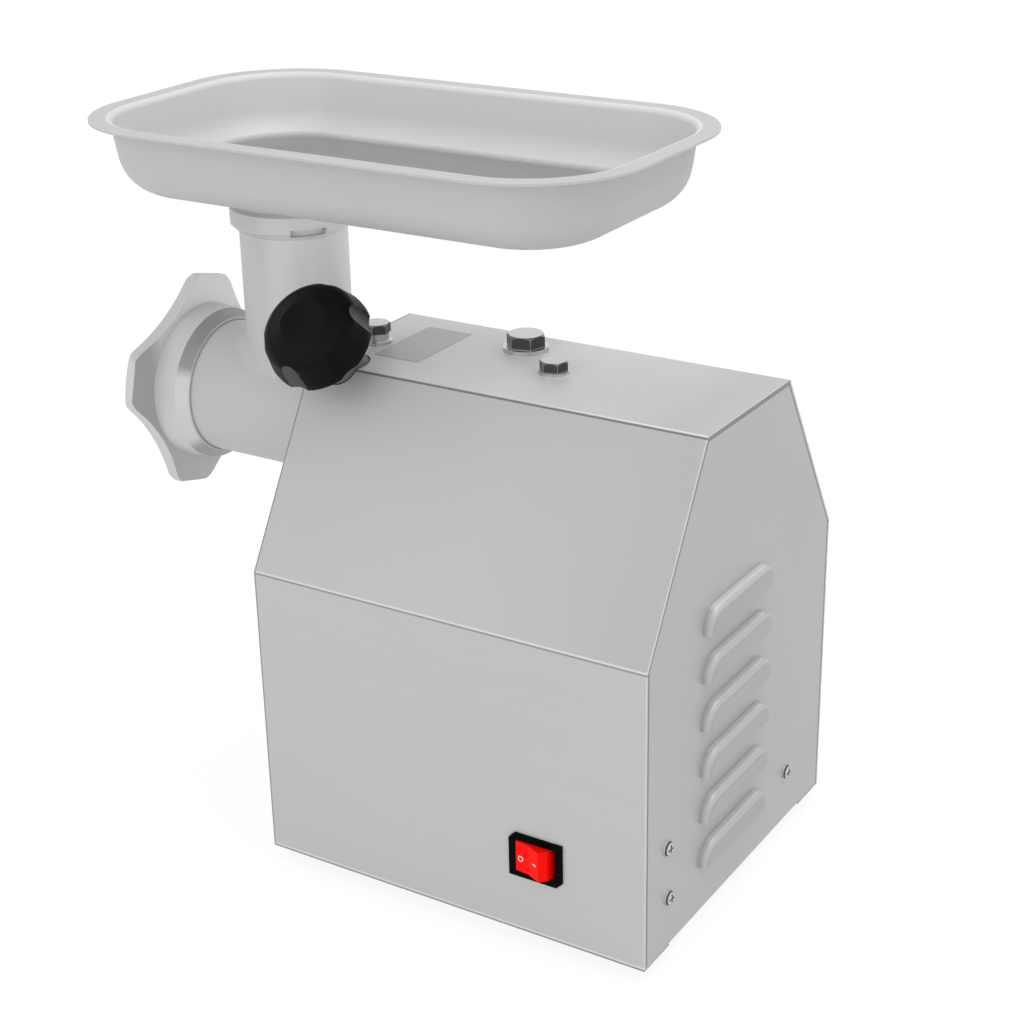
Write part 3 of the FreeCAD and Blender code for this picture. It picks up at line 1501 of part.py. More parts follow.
def bent_rim(solid, level, inset, radius):
    """Round the inner corner where the tray's wall turns out into its flange."""
    seam = []
    for edge in solid.Edges:
        box = edge.BoundBox
        flat = abs(box.ZMin - level) < 0.01 and abs(box.ZMax - level) < 0.01
        half_length = tray_length / 2 - inset + 0.1
        half_width = tray_width / 2 - inset + 0.1
        if flat and abs(box.Center.x - tray_x) < half_length and abs(box.Center.y) < half_width:
            if box.XMax < tray_x + half_length and box.XMin > tray_x - half_length:
                if box.YMax < half_width and box.YMin > -half_width:
                    seam.append(edge)
    return solid.makeFillet(radius, seam)


def feed_tray():
    flange_z = tray_rim_z - tray_sheet
    rim = rounded_rectangle(tray_length, tray_width, tray_corner, tray_x, flange_z)
    rim_solid = Part.Face(rim).extrude(V(0, 0, tray_sheet))
    outside = tray_well(0, tray_floor_z, flange_z, tray_floor_round)
    solid = bent_rim(join([rim_solid, outside]), flange_z, tray_flange, tray_bend)
    inside = tray_well(tray_sheet, tray_floor_z + tray_sheet, tray_rim_z, tray_floor_round - tray_sheet)
    above = rounded_rectangle(tray_length + 2 * cut_past, tray_width + 2 * cut_past, tray_corner + cut_past,
                              tray_x, tray_rim_z)
    above_solid = Part.Face(above).extrude(V(0, 0, 4 * cut_past))
    hollow = bent_rim(join([inside, above_solid]), tray_rim_z, tray_flange + tray_sheet, tray_bend + tray_sheet)
    hole = rod_z(spout_radius + running_gap, tray_floor_z - cut_past, tray_floor_z + 4 * tray_sheet, neck_x, 0)
    return solid.cut([hollow, hole])


def tray_spout():
    floor = tray_floor_z + tray_sheet
    flange = rod_z(spout_radius + spout_flange, floor, floor + spout_flange_thickness, neck_x, 0)
    tube = rod_z(spout_radius, tray_floor_z - spout_reach, floor, neck_x, 0)
    bore = rod_z(spout_radius - spout_wall, tray_floor_z - spout_reach - cut_past, floor + cut_past, neck_x, 0)
    return join([flange, tube]).cut(bore)


pieces = {
    "housing_shell": housing_shell(),
    "front_panel": front_panel(),
    "rear_panel": rear_panel(),
    "base_plate": base_plate(),
    "rubber_feet": rubber_feet(),
    "foot_screws": foot_screws(),
    "foot_nuts": foot_nuts(),
    "base_screws": base_screws(),
    "panel_screws": panel_screws(),
    "top_bolts": top_bolts(),
    "top_washers": top_washers(),
    "bolt_collar": bolt_collar(),
    "middle_bolt": middle_bolt(),
    "middle_washer": middle_washer(),
    "label_plate": label_plate(),
    "switch_body": switch_body(),
    "switch_rocker": switch_rocker(),
    "cable_gland": cable_gland(),
    "gland_nut": gland_nut(),
    "motor_shell": motor_shell(),
    "stator_core": stator_core(),
    "stator_windings": stator_windings(),
    "motor_front_bell": motor_front_bell(),
    "motor_rear_bell": motor_rear_bell(),
    "motor_bearings": motor_bearings(),
    "motor_shaft": motor_shaft(),
    "rotor_core": rotor_core(),
    "motor_fan": motor_fan(),
    "motor_bolts": motor_bolts(),
    "motor_cradle": motor_cradle(),
    "cradle_bolts": cradle_bolts(),
    "capacitor": capacitor(),
    "capacitor_clamp": capacitor_clamp(),
    "terminal_bracket": terminal_bracket(),
    "terminal_block": terminal_block(),
    "gearbox_case": gearbox_case(),
    "gearbox_gasket": gearbox_gasket(),
    "gearbox_cover": gearbox_cover(),
    "cover_bolts": cover_bolts(),
    "nose_bolts": nose_bolts(),
    "oil_seal": oil_seal(),
    "output_bearings": output_bearings(),
    "lay_bearings": lay_bearings(),
    "first_gear": first_gear(),
    "lay_shaft": lay_shaft(),
    "output_gear": output_gear(),
    "output_shaft": output_shaft(),
    "clamp_pad": clamp_pad(),
    "clamp_stud": clamp_stud(),
    "clamp_knob": clamp_knob(),
    "grinder_head": grinder_head(),
    "rear_bush": rear_bush(),
    "thrust_washer": thrust_ring(),
    "auger": auger(),
    "cross_knife": cross_knife(),
    "grinding_plate": grinding_plate(),
    "plate_key": plate_key(),
    "ring_nut": ring_nut(),
    "feed_tray": feed_tray(),
    "tray_spout": tray_spout(),
}

# The origin: under the middle of the part's box, on the surface that the feet stand on
whole = FreeCAD.BoundBox()
for shape in pieces.values():
    whole.add(shape.optimalBoundingBox(False))
shift = V(-(whole.XMin + whole.XMax) / 2, -(whole.YMin + whole.YMax) / 2, foot_height)

os.makedirs("parts", exist_ok=True)
for name, shape in pieces.items():
    placed = shape.copy()
    placed.translate(shift)
    placed.exportStep("parts/" + name + ".step")
    print(f"{name:18s} solids {len(shape.Solids)}  valid {shape.isValid()}  volume {shape.Volume:10.1f}")
print("shift", shift, "box", whole)
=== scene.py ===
# %% [markdown]
# # An electric meat grinder in folded sheet steel
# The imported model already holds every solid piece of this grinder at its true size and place.
# This lesson dresses it: a camera, a plain studio, finishes made of shader nodes, and the two thin
# marks on the switch, which are easier to make as meshes than as solids. It starts by loading the
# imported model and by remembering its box, because nothing added later may grow past it.

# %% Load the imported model
import bpy
import bmesh
import json
import math
from mathutils import Matrix, Vector


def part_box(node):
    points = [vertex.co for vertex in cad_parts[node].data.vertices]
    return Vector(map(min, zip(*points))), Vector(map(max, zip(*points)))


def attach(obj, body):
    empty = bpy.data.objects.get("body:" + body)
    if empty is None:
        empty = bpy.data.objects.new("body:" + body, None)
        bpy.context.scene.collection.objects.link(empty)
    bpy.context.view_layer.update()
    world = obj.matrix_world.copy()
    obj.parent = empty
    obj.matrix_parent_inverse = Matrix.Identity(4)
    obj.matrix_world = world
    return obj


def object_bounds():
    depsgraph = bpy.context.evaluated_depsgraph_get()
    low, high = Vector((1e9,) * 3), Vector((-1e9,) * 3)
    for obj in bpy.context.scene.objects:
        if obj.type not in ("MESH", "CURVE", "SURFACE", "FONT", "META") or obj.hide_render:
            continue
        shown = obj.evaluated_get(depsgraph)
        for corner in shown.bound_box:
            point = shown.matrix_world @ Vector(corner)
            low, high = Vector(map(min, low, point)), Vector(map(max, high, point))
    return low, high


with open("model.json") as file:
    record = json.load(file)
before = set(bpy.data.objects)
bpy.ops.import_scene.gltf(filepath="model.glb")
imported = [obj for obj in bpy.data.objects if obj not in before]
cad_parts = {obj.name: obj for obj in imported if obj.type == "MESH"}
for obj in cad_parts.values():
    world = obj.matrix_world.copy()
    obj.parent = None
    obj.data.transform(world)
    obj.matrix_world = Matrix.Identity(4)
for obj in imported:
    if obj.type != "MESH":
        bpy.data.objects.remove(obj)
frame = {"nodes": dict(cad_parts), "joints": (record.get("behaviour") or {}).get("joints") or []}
nodes = frame["nodes"]
joints = {joint["name"]: joint for joint in frame["joints"]}
cad_low, cad_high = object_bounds()
mm = 0.001
print("overall size in mm:", [round(side / mm) for side in cad_high - cad_low])

# %% [markdown]
# ## The camera
# The picture looks down on the switch side from behind the louvred end. A camera can be aimed with
# a tracking constraint, but a fixed place and three plain angles are easier to read and to check.
# The place is measured from the middle of the housing's lower front edge.

# %% Place the camera
shell_low, shell_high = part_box("housing_shell")
middle_y = (shell_low.y + shell_high.y) / 2
housing_corner = Vector((shell_low.x, middle_y, shell_low.z))
camera_offset = Vector((612.95, -826.17, 596.75)) * mm
camera_azimuth = math.radians(32.231)
camera_elevation = math.radians(23.225)
camera_roll = math.radians(-1.181)

camera_data = bpy.data.cameras.new("portrait_camera")
camera_data.sensor_width = 36.0
camera_data.lens = 70.927
camera = bpy.data.objects.new("portrait_camera", camera_data)
bpy.context.scene.collection.objects.link(camera)
camera.matrix_world = (
    Matrix.Translation(housing_corner + camera_offset)
    @ Matrix.Rotation(camera_azimuth, 4, "Z")
    @ Matrix.Rotation(math.pi / 2 - camera_elevation, 4, "X")
    @ Matrix.Rotation(camera_roll, 4, "Z")
)
bpy.context.scene.camera = camera
print("camera at", [round(value, 3) for value in camera.location])

# %% [markdown]
# ## The studio
# The grinder stands on white paper in even light. A white world lights it from all round, and two
# large soft boxes give the faces their slightly different greys. The world and the floor show plain
# white to the camera and to reflections through Light Path, so the background stays white without
# more light on the metal, and part of the floor stays a plain matte sheet that keeps the shadow.

# %% Light the studio
bpy.context.scene.view_settings.view_transform = "Standard"


def seen_directly(tree):
    """A value of one where the camera, a reflection or a clear material looks straight at a surface."""
    path = tree.nodes.new("ShaderNodeLightPath")
    seen = path.outputs["Is Camera Ray"]
    for ray in ("Is Glossy Ray", "Is Transmission Ray"):
        either = tree.nodes.new("ShaderNodeMath")
        either.operation = "MAXIMUM"
        tree.links.new(seen, either.inputs[0])
        tree.links.new(path.outputs[ray], either.inputs[1])
        seen = either.outputs[0]
    return seen


def white_world(fill_strength):
    """A world that lights the object at one strength and shows itself as plain white."""
    world = bpy.data.worlds.new("white_studio")
    world.use_nodes = True
    tree = world.node_tree
    tree.nodes.clear()
    mix = tree.nodes.new("ShaderNodeMixShader")
    tree.links.new(seen_directly(tree), mix.inputs["Fac"])
    for place, strength in ((1, fill_strength), (2, 1.0)):
        white = tree.nodes.new("ShaderNodeBackground")
        white.inputs["Strength"].default_value = strength
        white.inputs["Color"].default_value = (1.0, 1.0, 1.0, 1.0)
        tree.links.new(white.outputs[0], mix.inputs[place])
    output = tree.nodes.new("ShaderNodeOutputWorld")
    tree.links.new(mix.outputs[0], output.inputs["Surface"])
    bpy.context.scene.world = world


def soft_box(name, place, aim, size, watts):
    lamp_data = bpy.data.lights.new(name, "AREA")
    lamp_data.shape = "SQUARE"
    lamp_data.size = size
    lamp_data.energy = watts
    lamp = bpy.data.objects.new(name, lamp_data)
    bpy.context.scene.collection.objects.link(lamp)
    lamp.location = place
    lamp.rotation_euler = (Vector(aim) - Vector(place)).to_track_quat("-Z", "Y").to_euler()


object_middle = (cad_low + cad_high) / 2
white_world(fill_strength=0.8)
soft_box("soft_box_above", place=(0.6, 0.1, 1.9), aim=object_middle, size=1.4, watts=11.0)
soft_box("soft_box_front", place=(-0.3, -1.9, 0.9), aim=object_middle, size=1.6, watts=6.0)
print("studio lit by a white world and 2 soft boxes")

# %% [markdown]
# ### The paper floor
# The sheet of paper could be lit until it is white, but that would also light the metal from below.
# Here most of it glows plain white where it is seen, and a matte share keeps a faint shadow.

# %% Lay the paper floor
floor_half = 4.0
shadow_share = 0.15
paper_tone = 0.96
paper_glow = 1.04


def paper_floor():
    mesh = bpy.data.meshes.new("paper_floor")
    corners = [(-floor_half, -floor_half, 0), (floor_half, -floor_half, 0),
               (floor_half, floor_half, 0), (-floor_half, floor_half, 0)]
    mesh.from_pydata(corners, [], [(0, 1, 2, 3)])
    floor = bpy.data.objects.new("paper_floor", mesh)
    bpy.context.scene.collection.objects.link(floor)
    material = bpy.data.materials.new("studio_paper")
    material.use_nodes = True
    tree = material.node_tree
    tree.nodes.clear()
    matte = tree.nodes.new("ShaderNodeBsdfDiffuse")
    matte.inputs["Color"].default_value = (paper_tone, paper_tone, paper_tone, 1.0)
    glow = tree.nodes.new("ShaderNodeEmission")
    glow.inputs["Color"].default_value = (1.0, 1.0, 1.0, 1.0)
    glow.inputs["Strength"].default_value = paper_glow
    share = tree.nodes.new("ShaderNodeMath")
    share.operation = "MULTIPLY"
    tree.links.new(seen_directly(tree), share.inputs[0])
    share.inputs[1].default_value = 1 - shadow_share
    mix = tree.nodes.new("ShaderNodeMixShader")
    tree.links.new(share.outputs[0], mix.inputs["Fac"])
    tree.links.new(matte.outputs[0], mix.inputs[1])
    tree.links.new(glow.outputs[0], mix.inputs[2])
    output = tree.nodes.new("ShaderNodeOutputMaterial")
    tree.links.new(mix.outputs[0], output.inputs["Surface"])
    mesh.materials.append(material)


paper_floor()
print("floor laid under the feet")

# %% [markdown]
# ## Effects that several finishes share
# Brushed lines, painted edge lines of light and shade, slow smears and a fine moulded grain turn up on
# many pieces. Each could be drawn again in every material, but a node group keeps it in one place with
# named inputs. The groups give only colours and values that change over the surface; the shader itself
# stays in each material. A few helpers place one node each, so that a recipe of nodes reads like arithmetic.

# %% Helpers for node groups


def start_group(name, inputs, outputs):
    """A new group with its named sockets, and the two nodes that stand for them inside it."""
    group = bpy.data.node_groups.new(name, "ShaderNodeTree")
    for label, kind, value in inputs:
        socket = group.interface.new_socket(label, in_out="INPUT", socket_type=kind)
        socket.default_value = value
    for label, kind in outputs:
        group.interface.new_socket(label, in_out="OUTPUT", socket_type=kind)
    way_in = group.nodes.new("NodeGroupInput")
    way_out = group.nodes.new("NodeGroupOutput")
    return group, way_in, way_out


def feed(tree, socket, value):
    """Link another socket to this one, or give this one a plain value."""
    if isinstance(value, bpy.types.NodeSocket):
        tree.links.new(value, socket)
    else:
        socket.default_value = value


def math_node(tree, operation, first, second=None):
    node = tree.nodes.new("ShaderNodeMath")
    node.operation = operation
    feed(tree, node.inputs[0], first)
    if second is not None:
        feed(tree, node.inputs[1], second)
    return node.outputs[0]


def vector_node(tree, operation, first, second):
    """One step of vector arithmetic. A dot product comes out as a number, anything else as a vector."""
    node = tree.nodes.new("ShaderNodeVectorMath")
    node.operation = operation
    feed(tree, node.inputs[0], first)
    feed(tree, node.inputs["Scale"] if operation == "SCALE" else node.inputs[1], second)
    return node.outputs["Value" if operation == "DOT_PRODUCT" else "Vector"]


print("helpers ready for groups and arithmetic")

# %% [markdown]
# ### Brushed lines
# Sheet steel is polished with a belt, which leaves fine lines along one direction. A noise texture
# that is stretched along that direction gives them. A wave texture would repeat too evenly.

# %% Brushed lines
noise_middle = 0.5


def coordinate(tree, source):
    """Object gives the place on the model, and Normal the direction that a smooth face points in."""
    return tree.nodes.new("ShaderNodeTexCoord").outputs[source]


def noise_node(tree, place, scale, detail, roughness=0.5):
    node = tree.nodes.new("ShaderNodeTexNoise")
    feed(tree, node.inputs["Vector"], place)
    feed(tree, node.inputs["Scale"], scale)
    feed(tree, node.inputs["Detail"], detail)
    feed(tree, node.inputs["Roughness"], roughness)
    return node.outputs["Fac"]


def make_brushed_lines():
    group, way_in, way_out = start_group(
        "brushed_lines",
        [("Tone", "NodeSocketColor", (0.5, 0.5, 0.5, 1.0)),
         ("Stretch", "NodeSocketVector", (30.0, 900.0, 900.0)),
         ("Contrast", "NodeSocketFloat", 0.05),
         ("Clouds", "NodeSocketFloat", 0.04)],
        [("Color", "NodeSocketColor"), ("Height", "NodeSocketFloat"), ("Smears", "NodeSocketFloat")])
    place = coordinate(group, "Object")
    stretched = vector_node(group, "MULTIPLY", place, way_in.outputs["Stretch"])
    lines = noise_node(group, stretched, scale=1.0, detail=4.0, roughness=0.62)
    clouds = noise_node(group, place, scale=11.0, detail=3.0)
    line_part = math_node(group, "MULTIPLY", math_node(group, "SUBTRACT", lines, noise_middle),
                          way_in.outputs["Contrast"])
    cloud_part = math_node(group, "MULTIPLY", math_node(group, "SUBTRACT", clouds, noise_middle),
                           way_in.outputs["Clouds"])
    shade = math_node(group, "ADD", math_node(group, "ADD", line_part, cloud_part), 1.0)
    toned = vector_node(group, "SCALE", way_in.outputs["Tone"], shade)
    group.links.new(toned, way_out.inputs["Color"])
    group.links.new(lines, way_out.inputs["Height"])
    group.links.new(clouds, way_out.inputs["Smears"])
    return group


brushed_lines = make_brushed_lines()
print("made the group", brushed_lines.name)

# %% [markdown]
# ### Painted edge lines
# Folds and corners of metal catch the light as a thin line with a thin dark line beside it. Both are
# painted here: the line is a painted highlight, or painted shade where a finish gives its edges a dark
# tone, and the dark border beside it is painted shade. The Bevel node gives the normal that a rounded edge
# would have, so its difference from the surface's own normal shows where an edge is. Two radii give the
# line and its dark border. A mask from mesh curvature would need a much finer mesh.

# %% Painted edge lines
edge_samples = 6
edge_start = 0.999
edge_full = 0.93
border_reach = 2.2


def ramp_node(tree, value, low, high, start=0.0, end=1.0):
    """A value that runs from start to end while the one it follows runs from low to high."""
    node = tree.nodes.new("ShaderNodeMapRange")
    feed(tree, node.inputs["Value"], value)
    feed(tree, node.inputs["From Min"], low)
    feed(tree, node.inputs["From Max"], high)
    feed(tree, node.inputs["To Min"], start)
    feed(tree, node.inputs["To Max"], end)
    return node.outputs["Result"]


def mix_colours(tree, share, first, second):
    """The first colour where the share is zero, and the second where it is one."""
    node = tree.nodes.new("ShaderNodeMix")
    node.data_type = "RGBA"
    feed(tree, node.inputs["Factor"], share)
    feed(tree, node.inputs["A"], first)
    feed(tree, node.inputs["B"], second)
    return node.outputs["Result"]


def edge_mask(group, radius):
    rounded = group.nodes.new("ShaderNodeBevel")
    rounded.samples = edge_samples
    group.links.new(radius, rounded.inputs["Radius"])
    surface = group.nodes.new("ShaderNodeNewGeometry")
    match = vector_node(group, "DOT_PRODUCT", rounded.outputs["Normal"], surface.outputs["Normal"])
    return ramp_node(group, match, edge_start, edge_full)


def make_bright_edges():
    group, way_in, way_out = start_group(
        "painted_edge_lines",
        [("Color", "NodeSocketColor", (0.5, 0.5, 0.5, 1.0)),
         ("Edge Color", "NodeSocketColor", (0.8, 0.8, 0.8, 1.0)),
         ("Width", "NodeSocketFloat", 0.8 * mm),
         ("Gain", "NodeSocketFloat", 1.0),
         ("Border", "NodeSocketFloat", 0.3)],
        [("Color", "NodeSocketColor")])
    line = edge_mask(group, way_in.outputs["Width"])
    around = edge_mask(group, math_node(group, "MULTIPLY", way_in.outputs["Width"], border_reach))
    # The dark border beside an edge is painted shade.
    shade = math_node(group, "SUBTRACT", 1.0, math_node(group, "MULTIPLY", around, way_in.outputs["Border"]))
    darker = vector_node(group, "SCALE", way_in.outputs["Color"], shade)
    # The edge line is a painted highlight, or painted shade where the edge tone is dark.
    share = math_node(group, "MULTIPLY", line, way_in.outputs["Gain"])
    colour = mix_colours(group, share, darker, way_in.outputs["Edge Color"])
    group.links.new(colour, way_out.inputs["Color"])
    return group


painted_edge_lines = make_bright_edges()
print("made the group", painted_edge_lines.name)

# %% [markdown]
# ### Moulded grain
# Plastic and rubber come out of a mould with a fine even grain and a few paler dusty patches. Two
# noise textures of different size are enough, one for the grain's height and one for the patches.

# %% Moulded grain
dust_start = 0.5
dust_full = 0.8


def make_moulded_grain():
    group, way_in, way_out = start_group(
        "moulded_grain",
        [("Tone", "NodeSocketColor", (0.02, 0.02, 0.02, 1.0)),
         ("Dust", "NodeSocketColor", (0.2, 0.2, 0.2, 1.0)),
         ("Dust Share", "NodeSocketFloat", 0.1),
         ("Grain Scale", "NodeSocketFloat", 1600.0)],
        [("Color", "NodeSocketColor"), ("Height", "NodeSocketFloat"), ("Patches", "NodeSocketFloat")])
    place = coordinate(group, "Object")
    grain = noise_node(group, place, way_in.outputs["Grain Scale"], detail=2.0)
    patches = noise_node(group, place, scale=60.0, detail=5.0)
    dusty = ramp_node(group, patches, dust_start, dust_full)
    share = math_node(group, "MULTIPLY", dusty, way_in.outputs["Dust Share"])
    colour = mix_colours(group, share, way_in.outputs["Tone"], way_in.outputs["Dust"])
    group.links.new(colour, way_out.inputs["Color"])
    group.links.new(grain, way_out.inputs["Height"])
    group.links.new(patches, way_out.inputs["Patches"])
    return group


moulded_grain = make_moulded_grain()
print("made the group", moulded_grain.name)

# %% [markdown]
# ## Finishes
# Each finish of the grinder is a Principled shader that the groups feed. It comes down to a few values:
# its tone, the direction of its brushing, how rough it is and how wide its painted edge lines are. The shader
# could be set up by hand for each finish, but helpers keep colour, roughness and bump alike in all.

# %% Helpers for a material
pattern_low = 0.25
pattern_high = 0.75


def grey(value):
    return (value, value, value, 1.0)


def group_node(tree, group, **values):
    """Place a group in a material. An underscore in a name stands for the space in a socket's label."""
    node = tree.nodes.new("ShaderNodeGroup")
    node.node_tree = group
    for label, value in values.items():
        feed(tree, node.inputs[label.replace("_", " ")], value)
    return node


def new_material(name):
    material = bpy.data.materials.new(name)
    material.use_nodes = True
    return material, material.node_tree, material.node_tree.nodes["Principled BSDF"]


def set_roughness(tree, shader, pattern, middle, spread):
    """Roughness that follows a noise pattern, spread about a middle value."""
    rough = ramp_node(tree, pattern, pattern_low, pattern_high, middle - spread, middle + spread)
    tree.links.new(rough, shader.inputs["Roughness"])


def set_bump(tree, shader, height, distance, strength):
    bump = tree.nodes.new("ShaderNodeBump")
    feed(tree, bump.inputs["Distance"], distance)
    feed(tree, bump.inputs["Strength"], strength)
    feed(tree, bump.inputs["Height"], height)
    tree.links.new(bump.outputs["Normal"], shader.inputs["Normal"])


def add_tones(tree, colour, tones):
    """Lay one tone after another over a colour, each through its own mask."""
    for mask, tone in tones:
        colour = mix_colours(tree, mask(tree), colour, tone)
    return colour


print("helpers ready for colour, roughness and bump")

# %% [markdown]
# ### Two builders
# Metal and moulded pieces differ in kind: metal is brushed and has painted edge lines of light and shade,
# and a moulded piece has a grain and some dust. One builder with a switch for each effect could serve both,
# but two short ones are easier to follow.

# %% Builders for metal and for moulded pieces
metal_spread = 0.06
metal_relief = 0.2 * mm
moulded_spread = 0.07
moulded_relief = 0.1 * mm


def metal(name, tone, stretch, roughness, contrast=0.06, clouds=0.05, edge_width=0.7 * mm, edge_tone=0.8,
          edge_gain=0.8, border=0.0, metallic=1.0, bump=0.02, shades=(), lines=()):
    """A metal finish. Shades and lines are masks of painted light and shade, each with the tone that shows
    where the mask is one.
    """
    material, tree, shader = new_material(name)
    shader.inputs["Metallic"].default_value = metallic
    brushing = group_node(tree, brushed_lines, Tone=tone, Stretch=stretch, Contrast=contrast, Clouds=clouds)
    colour = add_tones(tree, brushing.outputs["Color"], shades)
    edges = group_node(tree, painted_edge_lines, Color=colour, Edge_Color=grey(edge_tone), Width=edge_width,
                       Gain=edge_gain, Border=border)
    colour = add_tones(tree, edges.outputs["Color"], lines)
    tree.links.new(colour, shader.inputs["Base Color"])
    set_roughness(tree, shader, brushing.outputs["Smears"], roughness, metal_spread)
    set_bump(tree, shader, brushing.outputs["Height"], metal_relief, bump)
    return material


def moulded(name, tone, dust, roughness, dust_share=0.08, grain=0.08, gloss=0.5, shades=()):
    """A finish for plastic, rubber or paper. Its shades are masks with tones of painted light, as for a
    metal.
    """
    material, tree, shader = new_material(name)
    skin = group_node(tree, moulded_grain, Tone=tone, Dust=dust, Dust_Share=dust_share)
    tree.links.new(add_tones(tree, skin.outputs["Color"], shades), shader.inputs["Base Color"])
    shader.inputs["Specular IOR Level"].default_value = gloss
    set_roughness(tree, shader, skin.outputs["Patches"], roughness, moulded_spread)
    set_bump(tree, shader, skin.outputs["Height"], moulded_relief, grain)
    return material


print("builders ready for metal and for moulded pieces")

# %% [markdown]
# ### Tones by place
# Some pieces have one face that is painted lighter or darker than the rest, as painted light or shade, such
# as the top of a bolt that light from above falls on. A second material would need that face to be picked
# in the mesh, so a mask finds it instead, from the direction that the face points in or from its place
# along an axis of the model.

# %% Masks by direction and by place
band_soft = 0.2 * mm


def ramp_mask(tree, source, axis, low, high):
    split = tree.nodes.new("ShaderNodeSeparateXYZ")
    tree.links.new(coordinate(tree, source), split.inputs[0])
    return ramp_node(tree, split.outputs[axis], low, high)


def facing(axis, low, high):
    """A mask that grows as faces turn to point along an axis."""
    return lambda tree: ramp_mask(tree, "Normal", axis, low, high)


def beyond(axis, low, high):
    """A mask that grows from one place to another along an axis."""
    return lambda tree: ramp_mask(tree, "Object", axis, low, high)


def both(first, second):
    """A mask of one where two masks are both one."""
    return lambda tree: math_node(tree, "MULTIPLY", first(tree), second(tree))


def band(axis, low, high):
    """A mask of one between two places along an axis, with soft ends."""
    return both(beyond(axis, low - band_soft, low), beyond(axis, high + band_soft, high))


print("masks ready: facing, beyond, both and band")

# %% [markdown]
# ### The housing's sheet
# The housing is one folded sheet, brushed along its length. Light falls differently on its walls, slopes
# and top, so each has its own painted tone of light and shade. A fold shows as a thin painted highlight
# above a thin painted line of shade. The fold itself is a bend of a few facets, too small for the Bevel
# node to find, so its two painted lines are bands at the height where the walls end, read from the mesh.
# The top's near edge and the lower edges have such painted lines too, and the front edge has a painted
# line of shade. The top and the slopes are painted darker towards the rear, as painted shade.

# %% Finish of the housing's sheet
along_length = (14.0, 700.0, 700.0)
same_place = 0.05 * mm

shell_points = [vertex.co for vertex in nodes["housing_shell"].data.vertices]
wall_end = max(point.z for point in shell_points if point.y < shell_low.y + same_place)
roof_edge = max(point.y for point in shell_points if point.z > shell_high.z - same_place)
near_roof_edge = 2 * middle_y - roof_edge

# Painted light and shade: the top gets a lighter painted tone, the slopes a darker one, and both are painted
# darker towards the rear.
shell_top = facing("Z", 0.9, 0.98)
shell_slope = both(facing("Z", 0.3, 0.4), facing("Z", 0.9, 0.8))
roof_rear = both(shell_top, beyond("X", 55 * mm, 155 * mm))
slope_rear = both(shell_slope, beyond("X", 70 * mm, 170 * mm))
# Painted lines: a painted highlight and a painted line of shade at the fold, the top's near edge and the
# foot, and a painted line of shade along the front edge.
fold_dark = band("Z", wall_end - 0.8 * mm, wall_end + 0.1 * mm)
fold_bright = band("Z", wall_end + 0.3 * mm, wall_end + 0.9 * mm)
roof_dark = both(band("Z", shell_high.z - 1.0 * mm, shell_high.z - 0.4 * mm), facing("Z", 0.99, 0.97))
roof_bright = both(shell_top, band("Y", near_roof_edge, near_roof_edge + 0.9 * mm))
foot_dark = band("Z", shell_low.z - 1 * mm, shell_low.z + 0.9 * mm)
foot_bright = band("Z", shell_low.z + 1.2 * mm, shell_low.z + 2.0 * mm)
front_dark = band("X", shell_low.x - 1 * mm, shell_low.x + 0.7 * mm)

stainless_sheet = metal(
    "stainless_sheet", grey(0.51), along_length, 0.5, metallic=0.1, edge_width=0.6 * mm, edge_tone=0.85,
    shades=[(shell_top, grey(0.84)), (roof_rear, grey(0.49)), (shell_slope, grey(0.49)),
            (slope_rear, grey(0.43))],
    lines=[(fold_dark, grey(0.3)), (fold_bright, grey(0.64)), (roof_dark, grey(0.18)),
           (roof_bright, grey(0.85)), (foot_dark, grey(0.28)), (foot_bright, grey(0.68)),
           (front_dark, grey(0.26))])
print(f"made {stainless_sheet.name}: the walls end {round((wall_end - shell_low.z) / mm, 1)} mm up")

# %% [markdown]
# ### The louvred panel
# The rear panel fits inside the end of the housing, and a line of painted shade runs along its outline, in
# the seam. Its six louvres are pressed out of the sheet: their faces lean in towards the open lower side and
# are painted darker, as painted shade, and their rounded upper sides carry a painted highlight. The outline
# could be drawn as an edge in the mesh, but a mask that measures how far a place is from the walls, the
# slopes and the top leaves the panel as it is.

# %% Finish of the panels
across_panel = (700.0, 14.0, 700.0)
outline_width = 1.4 * mm
louvre_depth = 6.0 * mm

_, panel_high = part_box("rear_panel")
panel_flat = panel_high.x - louvre_depth
slope_rise = shell_high.z - wall_end
slope_run = shell_high.y - roof_edge
slope_length = math.hypot(slope_rise, slope_run)
slope_side = slope_rise / slope_length
slope_up = slope_run / slope_length
panel_points = [vertex.co for vertex in nodes["rear_panel"].data.vertices]
slope_reach = max((point.y - middle_y) * slope_side + point.z * slope_up for point in panel_points)


def panel_outline(tree):
    """A mask of one along the panel's upper outline: its walls, its slopes and its top, where a line of
    painted shade runs in the seam.
    """
    split = tree.nodes.new("ShaderNodeSeparateXYZ")
    tree.links.new(coordinate(tree, "Object"), split.inputs[0])
    across = math_node(tree, "ABSOLUTE", math_node(tree, "SUBTRACT", split.outputs["Y"], middle_y))
    lean = math_node(tree, "ADD", math_node(tree, "MULTIPLY", across, slope_side),
                     math_node(tree, "MULTIPLY", split.outputs["Z"], slope_up))
    wall = math_node(tree, "GREATER_THAN", across, panel_high.y - middle_y - outline_width)
    slope = math_node(tree, "GREATER_THAN", lean, slope_reach - outline_width)
    top = math_node(tree, "GREATER_THAN", split.outputs["Z"], panel_high.z - outline_width)
    return math_node(tree, "MAXIMUM", math_node(tree, "MAXIMUM", wall, slope), top)


